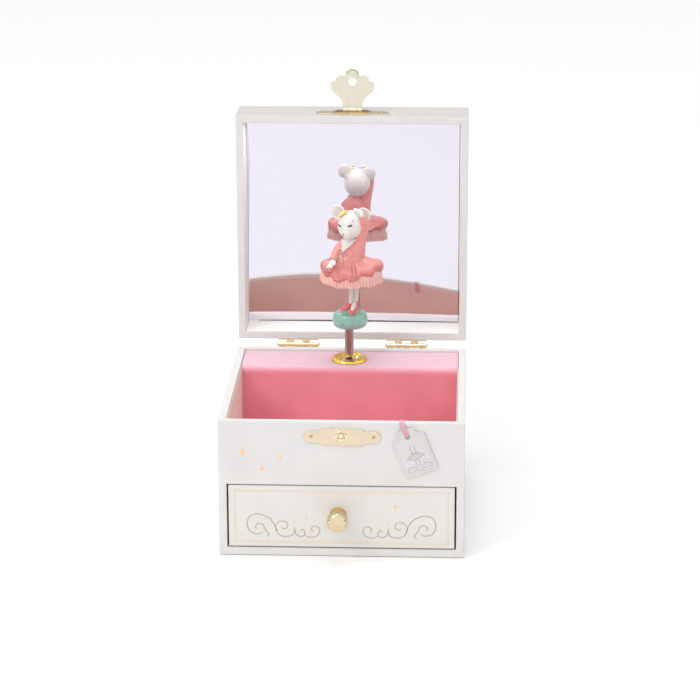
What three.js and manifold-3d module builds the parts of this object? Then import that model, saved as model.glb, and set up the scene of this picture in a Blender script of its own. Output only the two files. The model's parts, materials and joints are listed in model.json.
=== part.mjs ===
// Ballerina musical jewellery box: a papered box with a drawer, a mirrored lid that stands
// open, a hasp, a gift tag on a ribbon, a clockwork movement and a small turning dancer.
// Millimetres, +Z up. Origin: centre of the underside. +X is the viewer's right, -Y the front.
// Everything is at rest with the lid open by a right angle.

import * as THREE from 'three';
import { mergeVertices } from 'three/addons/utils/BufferGeometryUtils.js';
import Module from 'manifold-3d';

const wasm = await Module();
wasm.setup();

// ---------------------------------------------------------------- driving dimensions

const WIDTH = 120;
const DEPTH = 120;
const HEIGHT = 69.6;
const WALL = 3.9;
const GLUE = 0.05;
const TOUCH = 0.3;

const LID_GAP = 0.4;
const LID_DEPTH = 24;
const LID_WALL = 3.9;
const LID_TOP = 2;
const MIRROR_THICK = 1.5;

const PIVOT_BEHIND = 3;
const PIVOT_ABOVE = 0.2;
const HINGE_WIDTH = 21;
const HINGE_CENTRE = 28.5;
const HINGE_BARREL_R = 1.5;
const LEAF_THICK = 0.7;
const LEAF_LENGTH = 9;
const KNUCKLES = 5;

const BAY_FLOOR = 4;
const BAY_TOP = 36.9;
const TRAY_FLOOR_TOP = 39.4;
const PARTITION_FRONT = 29.2;
const PARTITION_THICK = 2.4;
const PLATFORM_TOP = 68.4;
const PLATFORM_THICK = 2;
const LINING = 0.5;

const DRAWER_WIDTH = 110;
const DRAWER_LOW = 4.6;
const DRAWER_HIGH = 36.3;
const DRAWER_BACK = 26;
const DRAWER_WALL = 2.5;
const DRAWER_SIDE_HIGH = 31;
const DRAWER_FRONT_THICK = 3.9;
const KNOB_X = -1.6;
const KNOB_Z = 20.4;
const KNOB_REACH = 12;
const KNOB_FACE_R = 4.75;

const STRIKE_Z = 62.4;
const PLATE_LENGTH = 37.6;
const PLATE_HEIGHT = 9.3;
const PLATE_END_HEIGHT = 6.2;
const PLATE_MID = 19.1;
const PLATE_THICK = 0.6;
const NAIL_X = 15.2;
const HASP_Z = 77.1;
const HASP_PROUD = 1.9;
const HASP_BARREL_R = 1.1;
const HASP_THICK = 0.6;
const HASP_HOLE_R = 2.15;

const SPINDLE_X = -0.7;
const SPINDLE_Y = 42.9;
const SPINDLE_R = 2.3;
const SPINDLE_TOP = 86;
const TRAIN_Z = 34;
const MODULE = 0.6;
const TOOTH_HEIGHT = 1.05;
const PINION_TEETH = 12;
const CROWN_TEETH = 24;
const BARREL_TEETH = 32;
const GOVERNOR_TEETH = 28;
const WORM_STARTS = 3;
const FAN_R = 4.6;
const FAN_BACK = 7.2;
const BARREL_X = -24;
const BEDPLATE_FRONT = 53.5;
const BEDPLATE_THICK = 2.2;

const DOME_LOW = SPINDLE_TOP + TOUCH;
const DOME_TOP = 95.3;
const DOME_R = 9.1;

// ---------------------------------------------------------------- worked-out places

const HALF_W = WIDTH / 2;
const HALF_D = DEPTH / 2;
const INNER_X = HALF_W - WALL;
const INNER_Y = HALF_D - WALL;
const PIVOT_Y = HALF_D + PIVOT_BEHIND;
const PIVOT_Z = HEIGHT + PIVOT_ABOVE;
const LID_LOW = HEIGHT + LID_GAP;
const LID_HIGH = LID_LOW + LID_DEPTH;
const HASP_Y = -HALF_D - HASP_PROUD;
const PINION_R = PINION_TEETH * MODULE / 2;
const CROWN_R = CROWN_TEETH * MODULE / 2;
const BARREL_R = BARREL_TEETH * MODULE / 2;

// ---------------------------------------------------------------- materials

function finish(colour, roughness, metalness = 0) {
  return new THREE.MeshStandardMaterial({ color: colour, roughness, metalness, flatShading: true });
}

const paper = () => finish(0xe9e6e3, 0.55);
const satin = () => finish(0xe17b89, 0.7);
const blush = () => finish(0xf0cdda, 0.6);
const gold = () => finish(0xf0c95a, 0.25, 1);
const paleGold = () => finish(0xe6dcc0, 0.35, 1);
const steel = () => finish(0xb8b8ba, 0.3, 1);
const brass = () => finish(0xc9a24a, 0.35, 1);
const board = () => finish(0xcbb79a, 0.8);

// ---------------------------------------------------------------- geometry helpers

// One vertex for each corner, so that a shape is a closed mesh from the start.
function weld(geometry) {
  geometry.deleteAttribute('normal');
  geometry.deleteAttribute('uv');
  const merged = mergeVertices(geometry, 1e-4);
  const corners = merged.index.array;
  const kept = [];
  for (let i = 0; i < corners.length; i += 3) {
    const [a, b, c] = [corners[i], corners[i + 1], corners[i + 2]];
    if (a !== b && b !== c && c !== a) {
      kept.push(a, b, c);
    }
  }
  merged.setIndex(kept);
  return merged;
}

// A box between two opposite corners.
function box(low, high) {
  const size = high.map((value, i) => value - low[i]);
  const geometry = weld(new THREE.BoxGeometry(...size));
  return geometry.translate(...low.map((value, i) => value + size[i] / 2));
}

// A turned shape about Z from [radius, height] points that start and end on the axis.
function turnedZ(points, segments = 24) {
  return turnedY(points, segments).rotateX(Math.PI / 2);
}

// The same about Y: heights run along +Y.
function turnedY(points, segments = 24) {
  const profile = points.map(([r, h]) => new THREE.Vector2(r, h));
  return weld(new THREE.LatheGeometry(profile, segments));
}

// The same about X: heights run along +X.
function turnedX(points, segments = 24) {
  return turnedY(points, segments).rotateZ(-Math.PI / 2);
}

// A rod with flat ends, as a profile for the three functions above.
function rod(radius, low, high) {
  return [[0, low], [radius, low], [radius, high], [0, high]];
}

// A closed body through rings of the same number of points, with its two end rings capped.
function loft(rings) {
  const count = rings[0].length;
  const points = rings.flat();
  for (const ring of [rings[0], rings[rings.length - 1]]) {
    const centre = new THREE.Vector3();
    ring.forEach((point) => centre.add(point));
    points.push(centre.divideScalar(count));
  }
  const first = points.length - 2;
  const last = points.length - 1;
  const index = [];
  for (let i = 0; i < count; i += 1) {
    const j = (i + 1) % count;
    index.push(first, j, i);
    for (let k = 0; k + 1 < rings.length; k += 1) {
      const a = k * count;
      const b = a + count;
      index.push(a + i, a + j, b + j, a + i, b + j, b + i);
    }
    const top = (rings.length - 1) * count;
    index.push(last, top + i, top + j);
  }
  const geometry = new THREE.BufferGeometry().setFromPoints(points);
  geometry.setIndex(index);
  return geometry;
}

// A ring in the XY plane whose radius follows a function of the angle.
function ring(z, radiusAt, count, centre = [0, 0], turn = 0) {
  return Array.from({ length: count }, (_, i) => {
    const angle = 2 * Math.PI * i / count;
    const r = radiusAt(angle);
    return new THREE.Vector3(
      centre[0] + r * Math.cos(angle + turn), centre[1] + r * Math.sin(angle + turn), z);
  });
}

// An ellipsoid with its three half-axes.
function ellipsoid(centre, halves, across = 10, down = 6) {
  const geometry = weld(new THREE.SphereGeometry(1, across, down));
  return geometry.rotateX(Math.PI / 2).scale(...halves).translate(...centre);
}

// A tapered limb between two points, with round ends.
function limb(from, to, fromR, toR, sides = 6) {
  const start = new THREE.Vector3(...from);
  const end = new THREE.Vector3(...to);
  const length = start.distanceTo(end);
  const profile = [[0, -fromR * 0.9], [fromR * 0.7, -fromR * 0.6], [fromR, 0],
    [toR, length], [toR * 0.7, length + toR * 0.6], [0, length + toR * 0.9]];
  const geometry = turnedY(profile, sides);
  const up = new THREE.Vector3(0, 1, 0);
  const turn = new THREE.Quaternion().setFromUnitVectors(up, end.sub(start).normalize());
  return geometry.applyQuaternion(turn).translate(...from);
}

function solid(geometry) {
  return new wasm.Manifold(new wasm.Mesh({
    numProp: 3,
    vertProperties: new Float32Array(geometry.attributes.position.array),
    triVerts: new Uint32Array(geometry.index.array),
  }));
}

function shell(manifold) {
  const mesh = manifold.getMesh();
  const geometry = new THREE.BufferGeometry();
  geometry.setAttribute('position', new THREE.BufferAttribute(mesh.vertProperties, 3));
  geometry.setIndex(new THREE.BufferAttribute(mesh.triVerts, 1));
  return geometry;
}

function join(...geometries) {
  return shell(geometries.map(solid).reduce((a, b) => a.add(b)));
}

function cut(geometry, ...tools) {
  return shell(tools.map(solid).reduce((a, b) => a.subtract(b), solid(geometry)));
}

function place(parent, name, geometry, material) {
  const mesh = new THREE.Mesh(geometry, material);
  mesh.name = name;
  parent.add(mesh);
  return mesh;
}

// A group whose children are drawn in their closed place and shown turned about an X axis.
function turnedAboutX(parent, y, z, angle) {
  const outer = new THREE.Group();
  const inner = new THREE.Group();
  outer.position.set(0, y, z);
  outer.rotation.x = angle;
  inner.position.set(0, -y, -z);
  outer.add(inner);
  parent.add(outer);
  return inner;
}

// ---------------------------------------------------------------- case

function buildCase(parent) {
  const sideLow = [HALF_W - WALL, -HALF_D, 0];
  place(parent, 'right_side_panel', box(sideLow, [HALF_W, HALF_D, HEIGHT]), paper());
  place(parent, 'left_side_panel',
    box([-HALF_W, -HALF_D, 0], [-HALF_W + WALL, HALF_D, HEIGHT]), paper());
  const x = INNER_X - GLUE;
  place(parent, 'base_panel', box([-x, -HALF_D, 0], [x, HALF_D, BAY_FLOOR]), paper());
  place(parent, 'front_panel',
    box([-x, -HALF_D, BAY_TOP], [x, -INNER_Y, HEIGHT]), paper());
  place(parent, 'back_panel', backPanel(x), paper());
  place(parent, 'tray_floor',
    box([-x, -INNER_Y + GLUE, BAY_TOP], [x, PARTITION_FRONT - GLUE, TRAY_FLOOR_TOP]), board());
  const partitionTop = PLATFORM_TOP - PLATFORM_THICK - GLUE;
  place(parent, 'partition',
    box([-x, PARTITION_FRONT, BAY_FLOOR + GLUE],
      [x, PARTITION_FRONT + PARTITION_THICK, partitionTop]), satin());
  place(parent, 'platform', platform(x), blush());
  place(parent, 'tray_lining', trayLining(), satin());
  place(parent, 'spindle_ferrule', ferrule(), gold());
}

// The back wall has a hole for the winding key and pilot holes for the movement's screws.
function backPanel(x) {
  const wall = box([-x, INNER_Y, BAY_FLOOR + GLUE], [x, HALF_D, HEIGHT]);
  const keyHole = turnedY(rod(4, INNER_Y - 1, HALF_D + 1)).translate(BARREL_X, 0, TRAIN_Z);
  const pilots = movementScrewPlaces().map(([sx, sz]) =>
    turnedY(rod(1.2, INNER_Y - 1, HALF_D - 1), 12).translate(sx, 0, sz));
  return cut(wall, keyHole, ...pilots);
}

// The shelf over the movement, with the hole that the spindle comes up through.
function platform(x) {
  const low = PLATFORM_TOP - PLATFORM_THICK;
  const shelf = box([-x, PARTITION_FRONT, low], [x, INNER_Y - GLUE, PLATFORM_TOP]);
  const hole = turnedZ(rod(5.2, low - 1, PLATFORM_TOP + 1));
  return cut(shelf, hole.translate(SPINDLE_X, SPINDLE_Y, 0));
}

// An open tray of satin over card that lines the front compartment.
function trayLining() {
  const x = INNER_X - GLUE;
  const front = -INNER_Y + GLUE;
  const back = PARTITION_FRONT - GLUE;
  const low = TRAY_FLOOR_TOP + GLUE;
  const top = HEIGHT - 1;
  const outside = box([-x, front, low], [x, back, PLATFORM_TOP]);
  const inside = box([-x + LINING, front + LINING, low + LINING],
    [x - LINING, back - LINING, top + 1]);
  return cut(outside, inside);
}

// A dished gold washer around the spindle hole.
function ferrule() {
  const profile = [[5.2, PLATFORM_TOP + GLUE], [9.25, PLATFORM_TOP + GLUE],
    [9.25, PLATFORM_TOP + 0.7], [8.1, PLATFORM_TOP + 1.5], [6.6, PLATFORM_TOP + 1],
    [5.2, PLATFORM_TOP + 0.8], [5.2, PLATFORM_TOP + GLUE]];
  return turnedZ(profile, 24).translate(SPINDLE_X, SPINDLE_Y, 0);
}

// ---------------------------------------------------------------- drawer

function buildDrawer(parent) {
  const half = DRAWER_WIDTH / 2;
  const face = -HALF_D + DRAWER_FRONT_THICK;
  const low = DRAWER_LOW;
  const screwHole = turnedY(rod(1.7, -HALF_D - 1, face + 1), 16);
  const front = box([-half, -HALF_D, low], [half, face, DRAWER_HIGH]);
  place(parent, 'drawer_front', cut(front, screwHole.translate(KNOB_X, 0, KNOB_Z)), paper());
  const side = half - 0.5;
  const back = DRAWER_BACK;
  for (const [name, sign] of [['drawer_left_side', -1], ['drawer_right_side', 1]]) {
    const xs = [sign * side, sign * (side - DRAWER_WALL)].sort((a, b) => a - b);
    place(parent, name,
      box([xs[0], face + GLUE, low], [xs[1], back, DRAWER_SIDE_HIGH]), paper());
  }
  const inner = side - DRAWER_WALL - GLUE;
  place(parent, 'drawer_back',
    box([-inner, back - DRAWER_WALL, low], [inner, back, DRAWER_SIDE_HIGH]), paper());
  place(parent, 'drawer_bottom',
    box([-inner, face + GLUE, low], [inner, back - DRAWER_WALL - GLUE, low + 2]), board());
  place(parent, 'drawer_lining', drawerLining(inner, face, back, low + 2), satin());
  place(parent, 'drawer_knob', knob(), gold());
  place(parent, 'knob_screw', knobScrew(face), steel());
}

function drawerLining(inner, face, back, floor) {
  const x = inner - GLUE;
  const front = face + 2 * GLUE + 2.4;
  const rear = back - DRAWER_WALL - 2 * GLUE;
  const outside = box([-x, front, floor + GLUE], [x, rear, DRAWER_SIDE_HIGH - 1]);
  const inside = box([-x + LINING, front + LINING, floor + GLUE + LINING],
    [x - LINING, rear - LINING, DRAWER_SIDE_HIGH]);
  return cut(outside, inside);
}

// A turned knob on a narrow neck, with a blind hole for its screw.
function knob() {
  const face = -KNOB_REACH;
  const profile = [[0, face], [KNOB_FACE_R - 0.7, face + 0.15], [KNOB_FACE_R, face + 0.9],
    [KNOB_FACE_R, face + 2.6], [KNOB_FACE_R - 1, face + 4.6], [2.9, face + 6.6],
    [2.5, face + 8.6], [3.1, face + 10.4], [4.1, -0.6], [4.1, -GLUE], [1.5, -GLUE],
    [1.5, -5.5], [0, -5.5]];
  return turnedY(profile, 20).translate(KNOB_X, -HALF_D, KNOB_Z);
}

function knobScrew(face) {
  const headSeat = face - (-HALF_D);
  const profile = [[0, -5], [1.3, -5], [1.3, headSeat + GLUE], [3, headSeat + GLUE],
    [2.6, headSeat + 1.6], [0, headSeat + 1.9]];
  const slot = box([-4, headSeat + 1.2, -0.35], [4, headSeat + 3, 0.35]);
  return cut(turnedY(profile, 16), slot).translate(KNOB_X, -HALF_D, KNOB_Z);
}

// ---------------------------------------------------------------- lid

function buildLid(parent) {
  const x = HALF_W;
  const front = -HALF_D;
  const back = HALF_D;
  const low = LID_LOW;
  const underTop = LID_HIGH - LID_TOP;
  place(parent, 'lid_top_panel',
    box([-x, front, underTop + GLUE], [x, back, LID_HIGH]), paper());
  place(parent, 'lid_left_rail',
    box([-x, front, low], [-x + LID_WALL, back, underTop]), paper());
  place(parent, 'lid_right_rail',
    box([x - LID_WALL, front, low], [x, back, underTop]), paper());
  const inner = x - LID_WALL - GLUE;
  place(parent, 'lid_front_rail',
    box([-inner, front, low], [inner, front + LID_WALL, underTop]), paper());
  place(parent, 'lid_back_rail',
    box([-inner, back - LID_WALL, low], [inner, back, underTop]), paper());
  const glassX = inner - GLUE;
  const glassY = HALF_D - LID_WALL - GLUE;
  const glassHigh = underTop - GLUE;
  place(parent, 'mirror',
    box([-glassX, -glassY, glassHigh - MIRROR_THICK], [glassX, glassY, glassHigh]),
    finish(0xecebf8, 0.02, 1));
}

// ---------------------------------------------------------------- hinges

// One hinge, drawn with the lid closed: its knuckles alternate between the two leaves.
function hingeLeaf(centre, upper) {
  const pitch = HINGE_WIDTH / KNUCKLES;
  const space = 0.3;
  const side = upper ? 1 : -1;
  const gooseneck = side > 0 ? LID_LOW - PIVOT_Z + 0.6 : 0.9;
  const leafFar = PIVOT_Z + side * (gooseneck + LEAF_LENGTH);
  const leafNear = PIVOT_Z + side * gooseneck;
  const inside = HALF_D + GLUE;
  const outside = inside + LEAF_THICK;
  const sorted = (a, b) => [Math.min(a, b), Math.max(a, b)];
  const [low, high] = sorted(leafNear, leafFar);
  const left = centre - HINGE_WIDTH / 2;
  const pieces = [box([left, inside, low], [left + HINGE_WIDTH, outside, high])];
  for (let i = 0; i < KNUCKLES; i += 1) {
    if ((i % 2 === 1) !== upper) {
      continue;
    }
    const a = left + i * pitch + space / 2;
    const b = a + pitch - space;
    const [webLow, webHigh] = sorted(leafNear, leafNear + side * LEAF_THICK);
    pieces.push(box([a, inside, webLow], [b, PIVOT_Y, webHigh]));
    pieces.push(turnedX(rod(HINGE_BARREL_R, a, b), 14).translate(0, PIVOT_Y, PIVOT_Z));
  }
  const bore = turnedX(rod(0.85, left - 1, left + HINGE_WIDTH + 1), 10);
  return cut(join(...pieces), bore.translate(0, PIVOT_Y, PIVOT_Z));
}

// The pin has a small domed head at each end.
function hingePin(centre) {
  const half = HINGE_WIDTH / 2;
  const profile = [[0, -half - 0.9], [0.9, -half - 0.6], [1.2, -half], [0.65, -half],
    [0.65, half], [1.2, half], [0.9, half + 0.6], [0, half + 0.9]];
  return turnedX(profile, 10).translate(centre, PIVOT_Y, PIVOT_Z);
}

function buildHinges(caseGroup, lidGroup) {
  for (const [side, centre] of [['left', -HINGE_CENTRE], ['right', HINGE_CENTRE]]) {
    place(caseGroup, `hinge_case_leaf_${side}`, hingeLeaf(centre, false), gold());
    place(lidGroup, `hinge_lid_leaf_${side}`, hingeLeaf(centre, true), gold());
    place(caseGroup, `hinge_pin_${side}`, hingePin(centre), gold());
  }
}

// ---------------------------------------------------------------- hasp and strike

// The long plate with rounded ends and a deeper middle, lying in the XZ plane.
function plateOutline() {
  const half = PLATE_LENGTH / 2;
  const mid = PLATE_MID / 2;
  const endR = PLATE_END_HEIGHT / 2;
  const high = PLATE_HEIGHT / 2;
  const shape = new THREE.Shape();
  shape.moveTo(half - endR, -endR);
  shape.absarc(half - endR, 0, endR, -Math.PI / 2, Math.PI / 2, false);
  shape.quadraticCurveTo(mid + 1.5, endR, mid, high);
  shape.lineTo(-mid, high);
  shape.quadraticCurveTo(-mid - 1.5, endR, -half + endR, endR);
  shape.absarc(-half + endR, 0, endR, Math.PI / 2, Math.PI * 1.5, false);
  shape.quadraticCurveTo(-mid - 1.5, -endR, -mid, -high);
  shape.lineTo(mid, -high);
  shape.quadraticCurveTo(mid + 1.5, -endR, half - endR, -endR);
  return shape;
}

// A flat outline made into a plate that faces -Y, its back on the plane y.
function plate(shape, thick, y, z) {
  const options = { depth: thick, bevelEnabled: false, curveSegments: 4 };
  return weld(new THREE.ExtrudeGeometry(shape, options)).rotateX(Math.PI / 2).translate(0, y, z);
}

function nail(x, z) {
  const profile = [[0, -1.1], [0.9, -0.8], [1.3, -0.2], [1.3, 0], [0.5, 0], [0.45, 0.5], [0, 0.5]];
  return turnedY(profile, 12).translate(x, -HALF_D - PLATE_THICK - 2 * GLUE, z);
}

function nailHoles(z) {
  return [-NAIL_X, NAIL_X].map((x) =>
    turnedY(rod(0.6, -HALF_D - 3, -HALF_D + 1), 12).translate(x, 0, z));
}

function buildStrike(parent) {
  const flat = plate(plateOutline(), PLATE_THICK, -HALF_D - GLUE, STRIKE_Z);
  const stud = [[0, -5], [1.2, -4.7], [1.85, -3.7], [1.95, -2.9], [1.75, -2.2], [1.1, -1.5],
    [1.1, -0.9], [2.8, -0.8], [2.8, -0.3], [0, -0.3]];
  const post = turnedY(stud, 16).translate(0, -HALF_D, STRIKE_Z);
  place(parent, 'strike_plate', cut(join(flat, post), ...nailHoles(STRIKE_Z)), paleGold());
  for (const [side, sign] of [['left', -1], ['right', 1]]) {
    place(parent, `strike_nail_${side}`, nail(sign * NAIL_X, STRIKE_Z), paleGold());
  }
}

// The base plate on the lid, with the two outer knuckles of the hasp's hinge.
function buildHaspBase(parent) {
  const back = -HALF_D - GLUE;
  const flat = plate(plateOutline(), PLATE_THICK, back, HASP_Z);
  const pieces = [flat];
  for (const sign of [-1, 1]) {
    const xs = [sign * 2.4, sign * 4.85].sort((a, b) => a - b);
    pieces.push(turnedX(rod(HASP_BARREL_R, xs[0], xs[1]), 16).translate(0, HASP_Y, HASP_Z));
    pieces.push(box([xs[0], HASP_Y, HASP_Z - 0.6], [xs[1], back - 0.1, HASP_Z + 0.6]));
  }
  const bore = turnedX(rod(0.6, -6, 6), 12).translate(0, HASP_Y, HASP_Z);
  place(parent, 'hasp_base', cut(join(...pieces), bore, ...nailHoles(HASP_Z)), paleGold());
  const pin = turnedX(rod(0.42, -5.1, 5.1), 12).translate(0, HASP_Y, HASP_Z);
  place(parent, 'hasp_pin', pin, paleGold());
  for (const [side, sign] of [['left', -1], ['right', 1]]) {
    place(parent, `hasp_nail_${side}`, nail(sign * NAIL_X, HASP_Z), paleGold());
  }
}

// The shell-shaped plate hangs from its knuckle: drop is measured down from the pin.
function haspOutline() {
  const shape = new THREE.Shape();
  shape.moveTo(5.2, -1.7);
  shape.lineTo(5.3, -4.2);
  shape.quadraticCurveTo(6, -6.6, 8.6, -8.4);
  shape.quadraticCurveTo(11.6, -10.3, 11.6, -12.8);
  shape.quadraticCurveTo(11.4, -15.4, 8.6, -15.7);
  shape.quadraticCurveTo(7.6, -18.6, 3.9, -18.5);
  shape.quadraticCurveTo(3.4, -22.9, 0, -23);
  shape.quadraticCurveTo(-3.4, -22.9, -3.9, -18.5);
  shape.quadraticCurveTo(-7.6, -18.6, -8.6, -15.7);
  shape.quadraticCurveTo(-11.4, -15.4, -11.6, -12.8);
  shape.quadraticCurveTo(-11.6, -10.3, -8.6, -8.4);
  shape.quadraticCurveTo(-6, -6.6, -5.3, -4.2);
  shape.lineTo(-5.2, -1.7);
  return shape;
}

function haspPlate() {
  const flat = plate(haspOutline(), HASP_THICK, HASP_Y + 0.3, HASP_Z);
  const knuckle = turnedX(rod(HASP_BARREL_R, -2.2, 2.2), 16).translate(0, HASP_Y, HASP_Z);
  const web = box([-2.2, HASP_Y - 0.3, HASP_Z - 2.2], [2.2, HASP_Y + 0.3, HASP_Z]);
  const lift = ellipsoid([0, HASP_Y - 0.5, HASP_Z - 20.6], [2.6, 0.9, 2], 12, 8);
  const bore = turnedX(rod(0.6, -4, 4), 12).translate(0, HASP_Y, HASP_Z);
  const hole = turnedY(rod(HASP_HOLE_R, HASP_Y - 2, HASP_Y + 2), 24);
  return cut(join(flat, web, knuckle, lift), bore, hole.translate(0, 0, STRIKE_Z));
}

// ---------------------------------------------------------------- ribbon and gift tag

const TAG_TURN = THREE.MathUtils.degToRad(21.5);
const TAG_WIDTH = 16.7;
const TAG_TOP = 24;
const TAG_SHOULDER = 19.8;
const TAG_HOLE = 20.2;
const TAG_THICK = 0.6;
const TAG_CORNER = [31.8, 40.9];
const RIBBON_WIDTH = 2.4;
const RIBBON_THICK = 0.25;

// A point of the tag's own face, from its lower left corner, on the case's front.
function onTag(across, up) {
  return [TAG_CORNER[0] + (across * Math.cos(TAG_TURN) - up * Math.sin(TAG_TURN)),
    TAG_CORNER[1] + (across * Math.sin(TAG_TURN) + up * Math.cos(TAG_TURN))];
}

function tagOutline() {
  const shape = new THREE.Shape();
  shape.moveTo(0, 0);
  shape.lineTo(TAG_WIDTH, 0);
  shape.lineTo(TAG_WIDTH, TAG_SHOULDER);
  shape.quadraticCurveTo(TAG_WIDTH - 3.2, TAG_SHOULDER + 0.6, TAG_WIDTH - 4.2, TAG_TOP);
  shape.lineTo(4.2, TAG_TOP);
  shape.quadraticCurveTo(3.2, TAG_SHOULDER + 0.6, 0, TAG_SHOULDER);
  return shape;
}

function buildTag(parent) {
  const hole = turnedY(rod(1.3, -1, 1), 16).translate(TAG_WIDTH / 2, 0, TAG_HOLE);
  const tag = cut(plate(tagOutline(), TAG_THICK, 0, 0), hole).rotateY(-TAG_TURN);
  tag.translate(TAG_CORNER[0], -HALF_D - 0.3, TAG_CORNER[1]);
  place(parent, 'gift_tag', tag, finish(0xe6e5e6, 0.5));
  const [x, z] = onTag(TAG_WIDTH / 2, TAG_HOLE + 0.4);
  const front = -HALF_D - 0.3 - TAG_THICK - TOUCH;
  const top = HEIGHT - 0.3;
  const half = RIBBON_WIDTH / 2;
  const lean = (top - z) * Math.tan(TAG_TURN);
  const shape = new THREE.Shape();
  shape.moveTo(x - half, z);
  shape.lineTo(x + half, z);
  shape.lineTo(x + half - lean, top);
  shape.lineTo(x - half - lean, top);
  place(parent, 'ribbon_tail', plate(shape, RIBBON_THICK, front, 0), finish(0xeab0b4, 0.6));
}

// The fixed end of the ribbon: glued inside the front wall and laid over its rim.
function buildRibbon(parent) {
  const [x] = onTag(TAG_WIDTH / 2, TAG_HOLE + 0.4);
  const centre = x - (HEIGHT - onTag(TAG_WIDTH / 2, TAG_HOLE)[1]) * Math.tan(TAG_TURN);
  const half = RIBBON_WIDTH / 2;
  const inside = -INNER_Y + LINING + GLUE + TOUCH;
  const over = HEIGHT + GLUE;
  const geometry = join(
    box([centre - half, -HALF_D, over], [centre + half, inside, over + RIBBON_THICK]),
    box([centre - half, inside - RIBBON_THICK, HEIGHT - 5.5],
      [centre + half, inside, over + RIBBON_THICK]));
  place(parent, 'ribbon_inside', geometry, finish(0xeab0b4, 0.6));
}

// ---------------------------------------------------------------- musical movement

function movementScrewPlaces() {
  return [[-34.5, 52], [40, 14]];
}

// A spur wheel about +Z with its teeth cut square, one tooth on +X when turn is 0.
function spurWheel(teeth, low, high, turn = 0) {
  const tip = teeth * MODULE / 2 + 0.45;
  const root = tip - TOOTH_HEIGHT;
  const steps = [[-0.26, root], [-0.14, tip], [0.14, tip], [0.26, root]];
  const outline = (z) => Array.from({ length: teeth }, (_, i) => steps.map(([offset, r]) => {
    const angle = turn + 2 * Math.PI * (i + offset) / teeth;
    return new THREE.Vector3(r * Math.cos(angle), r * Math.sin(angle), z);
  })).flat();
  return loft([outline(low), outline(high)]);
}

// A crown wheel about +Z: upright teeth on a disc, one of them on +X when turn is 0.
function crownWheel(teeth, face, discThick, turn = 0) {
  const pitchR = teeth * MODULE / 2;
  const disc = turnedZ(rod(pitchR + 0.9, face - discThick, face), 32);
  const width = 0.36 * Math.PI * MODULE;
  const pieces = [disc];
  for (let i = 0; i < teeth; i += 1) {
    const tooth = box([pitchR - 0.8, -width / 2, face - 0.2], [pitchR + 0.8, width / 2, face + 1.1]);
    pieces.push(tooth.rotateZ(turn + 2 * Math.PI * i / teeth));
  }
  return join(...pieces);
}

const aboutX = (geometry) => geometry.rotateY(Math.PI / 2);
const atTrain = (geometry, x = 0) => geometry.translate(x, SPINDLE_Y, TRAIN_Z);

function buildMovementFrame(parent) {
  const front = BEDPLATE_FRONT;
  const back = front + BEDPLATE_THICK;
  const plateBody = box([-39, front, 8], [45, back, 58]);
  const combBoss = box([6, SPINDLE_Y + 0.8, 8.5], [30, front + 0.5, 15.5]);
  const arborHole = turnedY(rod(2.2, front - 1, back + 1), 16).translate(BARREL_X, 0, TRAIN_Z);
  const screwHoles = movementScrewPlaces().map(([x, z]) =>
    turnedY(rod(1.3, front - 1, back + 1), 12).translate(x, 0, z));
  const combHoles = combScrewXs().map((x) =>
    turnedY(rod(0.9, SPINDLE_Y, SPINDLE_Y + 6), 12).translate(x, 0, 12));
  place(parent, 'movement_bedplate',
    cut(join(plateBody, combBoss), arborHole, ...screwHoles, ...combHoles), steel());
  movementScrewPlaces().forEach(([x, z], i) => {
    place(parent, `movement_screw_${i + 1}`, panScrew(1, 4.5, 2).translate(x, front, z), steel());
  });
  place(parent, 'comb', comb(), finish(0xd0d0d2, 0.25, 1));
  combScrewXs().forEach((x, i) => {
    const screw = panScrew(0.7, 4, 1.5).translate(x, SPINDLE_Y - 0.5, 12);
    place(parent, `comb_screw_${i + 1}`, screw, brass());
  });
  place(parent, 'train_bracket', trainBracket(), brass());
}

function combScrewXs() {
  return [11, 25];
}

// A pan-head screw that points to +Y, with its head's underside at y = 0.
function panScrew(shankR, length, headR) {
  const profile = [[0, -1.4], [headR * 0.7, -1.3], [headR, -0.7], [headR, -GLUE],
    [shankR, -GLUE], [shankR, length - 1], [0, length]];
  const slot = box([-headR - 1, -2, -0.25], [headR + 1, -1, 0.25]);
  return cut(turnedY(profile, 12), slot);
}

// The steel comb: a plate with one narrow tongue for each note.
function comb() {
  const shape = new THREE.Shape();
  const left = 6.5;
  const right = 29.5;
  const notes = 18;
  const pitch = (right - left) / notes;
  shape.moveTo(left, 9);
  shape.lineTo(right, 9);
  for (let i = notes - 1; i >= 0; i -= 1) {
    const a = left + i * pitch;
    const root = 15.5 + 3.5 * i / notes;
    shape.lineTo(a + pitch, root);
    shape.lineTo(a + 0.86 * pitch, root);
    shape.lineTo(a + 0.8 * pitch, 26.9);
    shape.lineTo(a + 0.2 * pitch, 26.9);
    shape.lineTo(a + 0.14 * pitch, root);
    shape.lineTo(a, root);
  }
  const flat = plate(shape, 0.9, SPINDLE_Y + 0.75, 0);
  const holes = combScrewXs().map((x) =>
    turnedY(rod(0.9, SPINDLE_Y - 3, SPINDLE_Y + 3), 12).translate(x, 0, 12));
  return cut(flat, ...holes);
}

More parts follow.
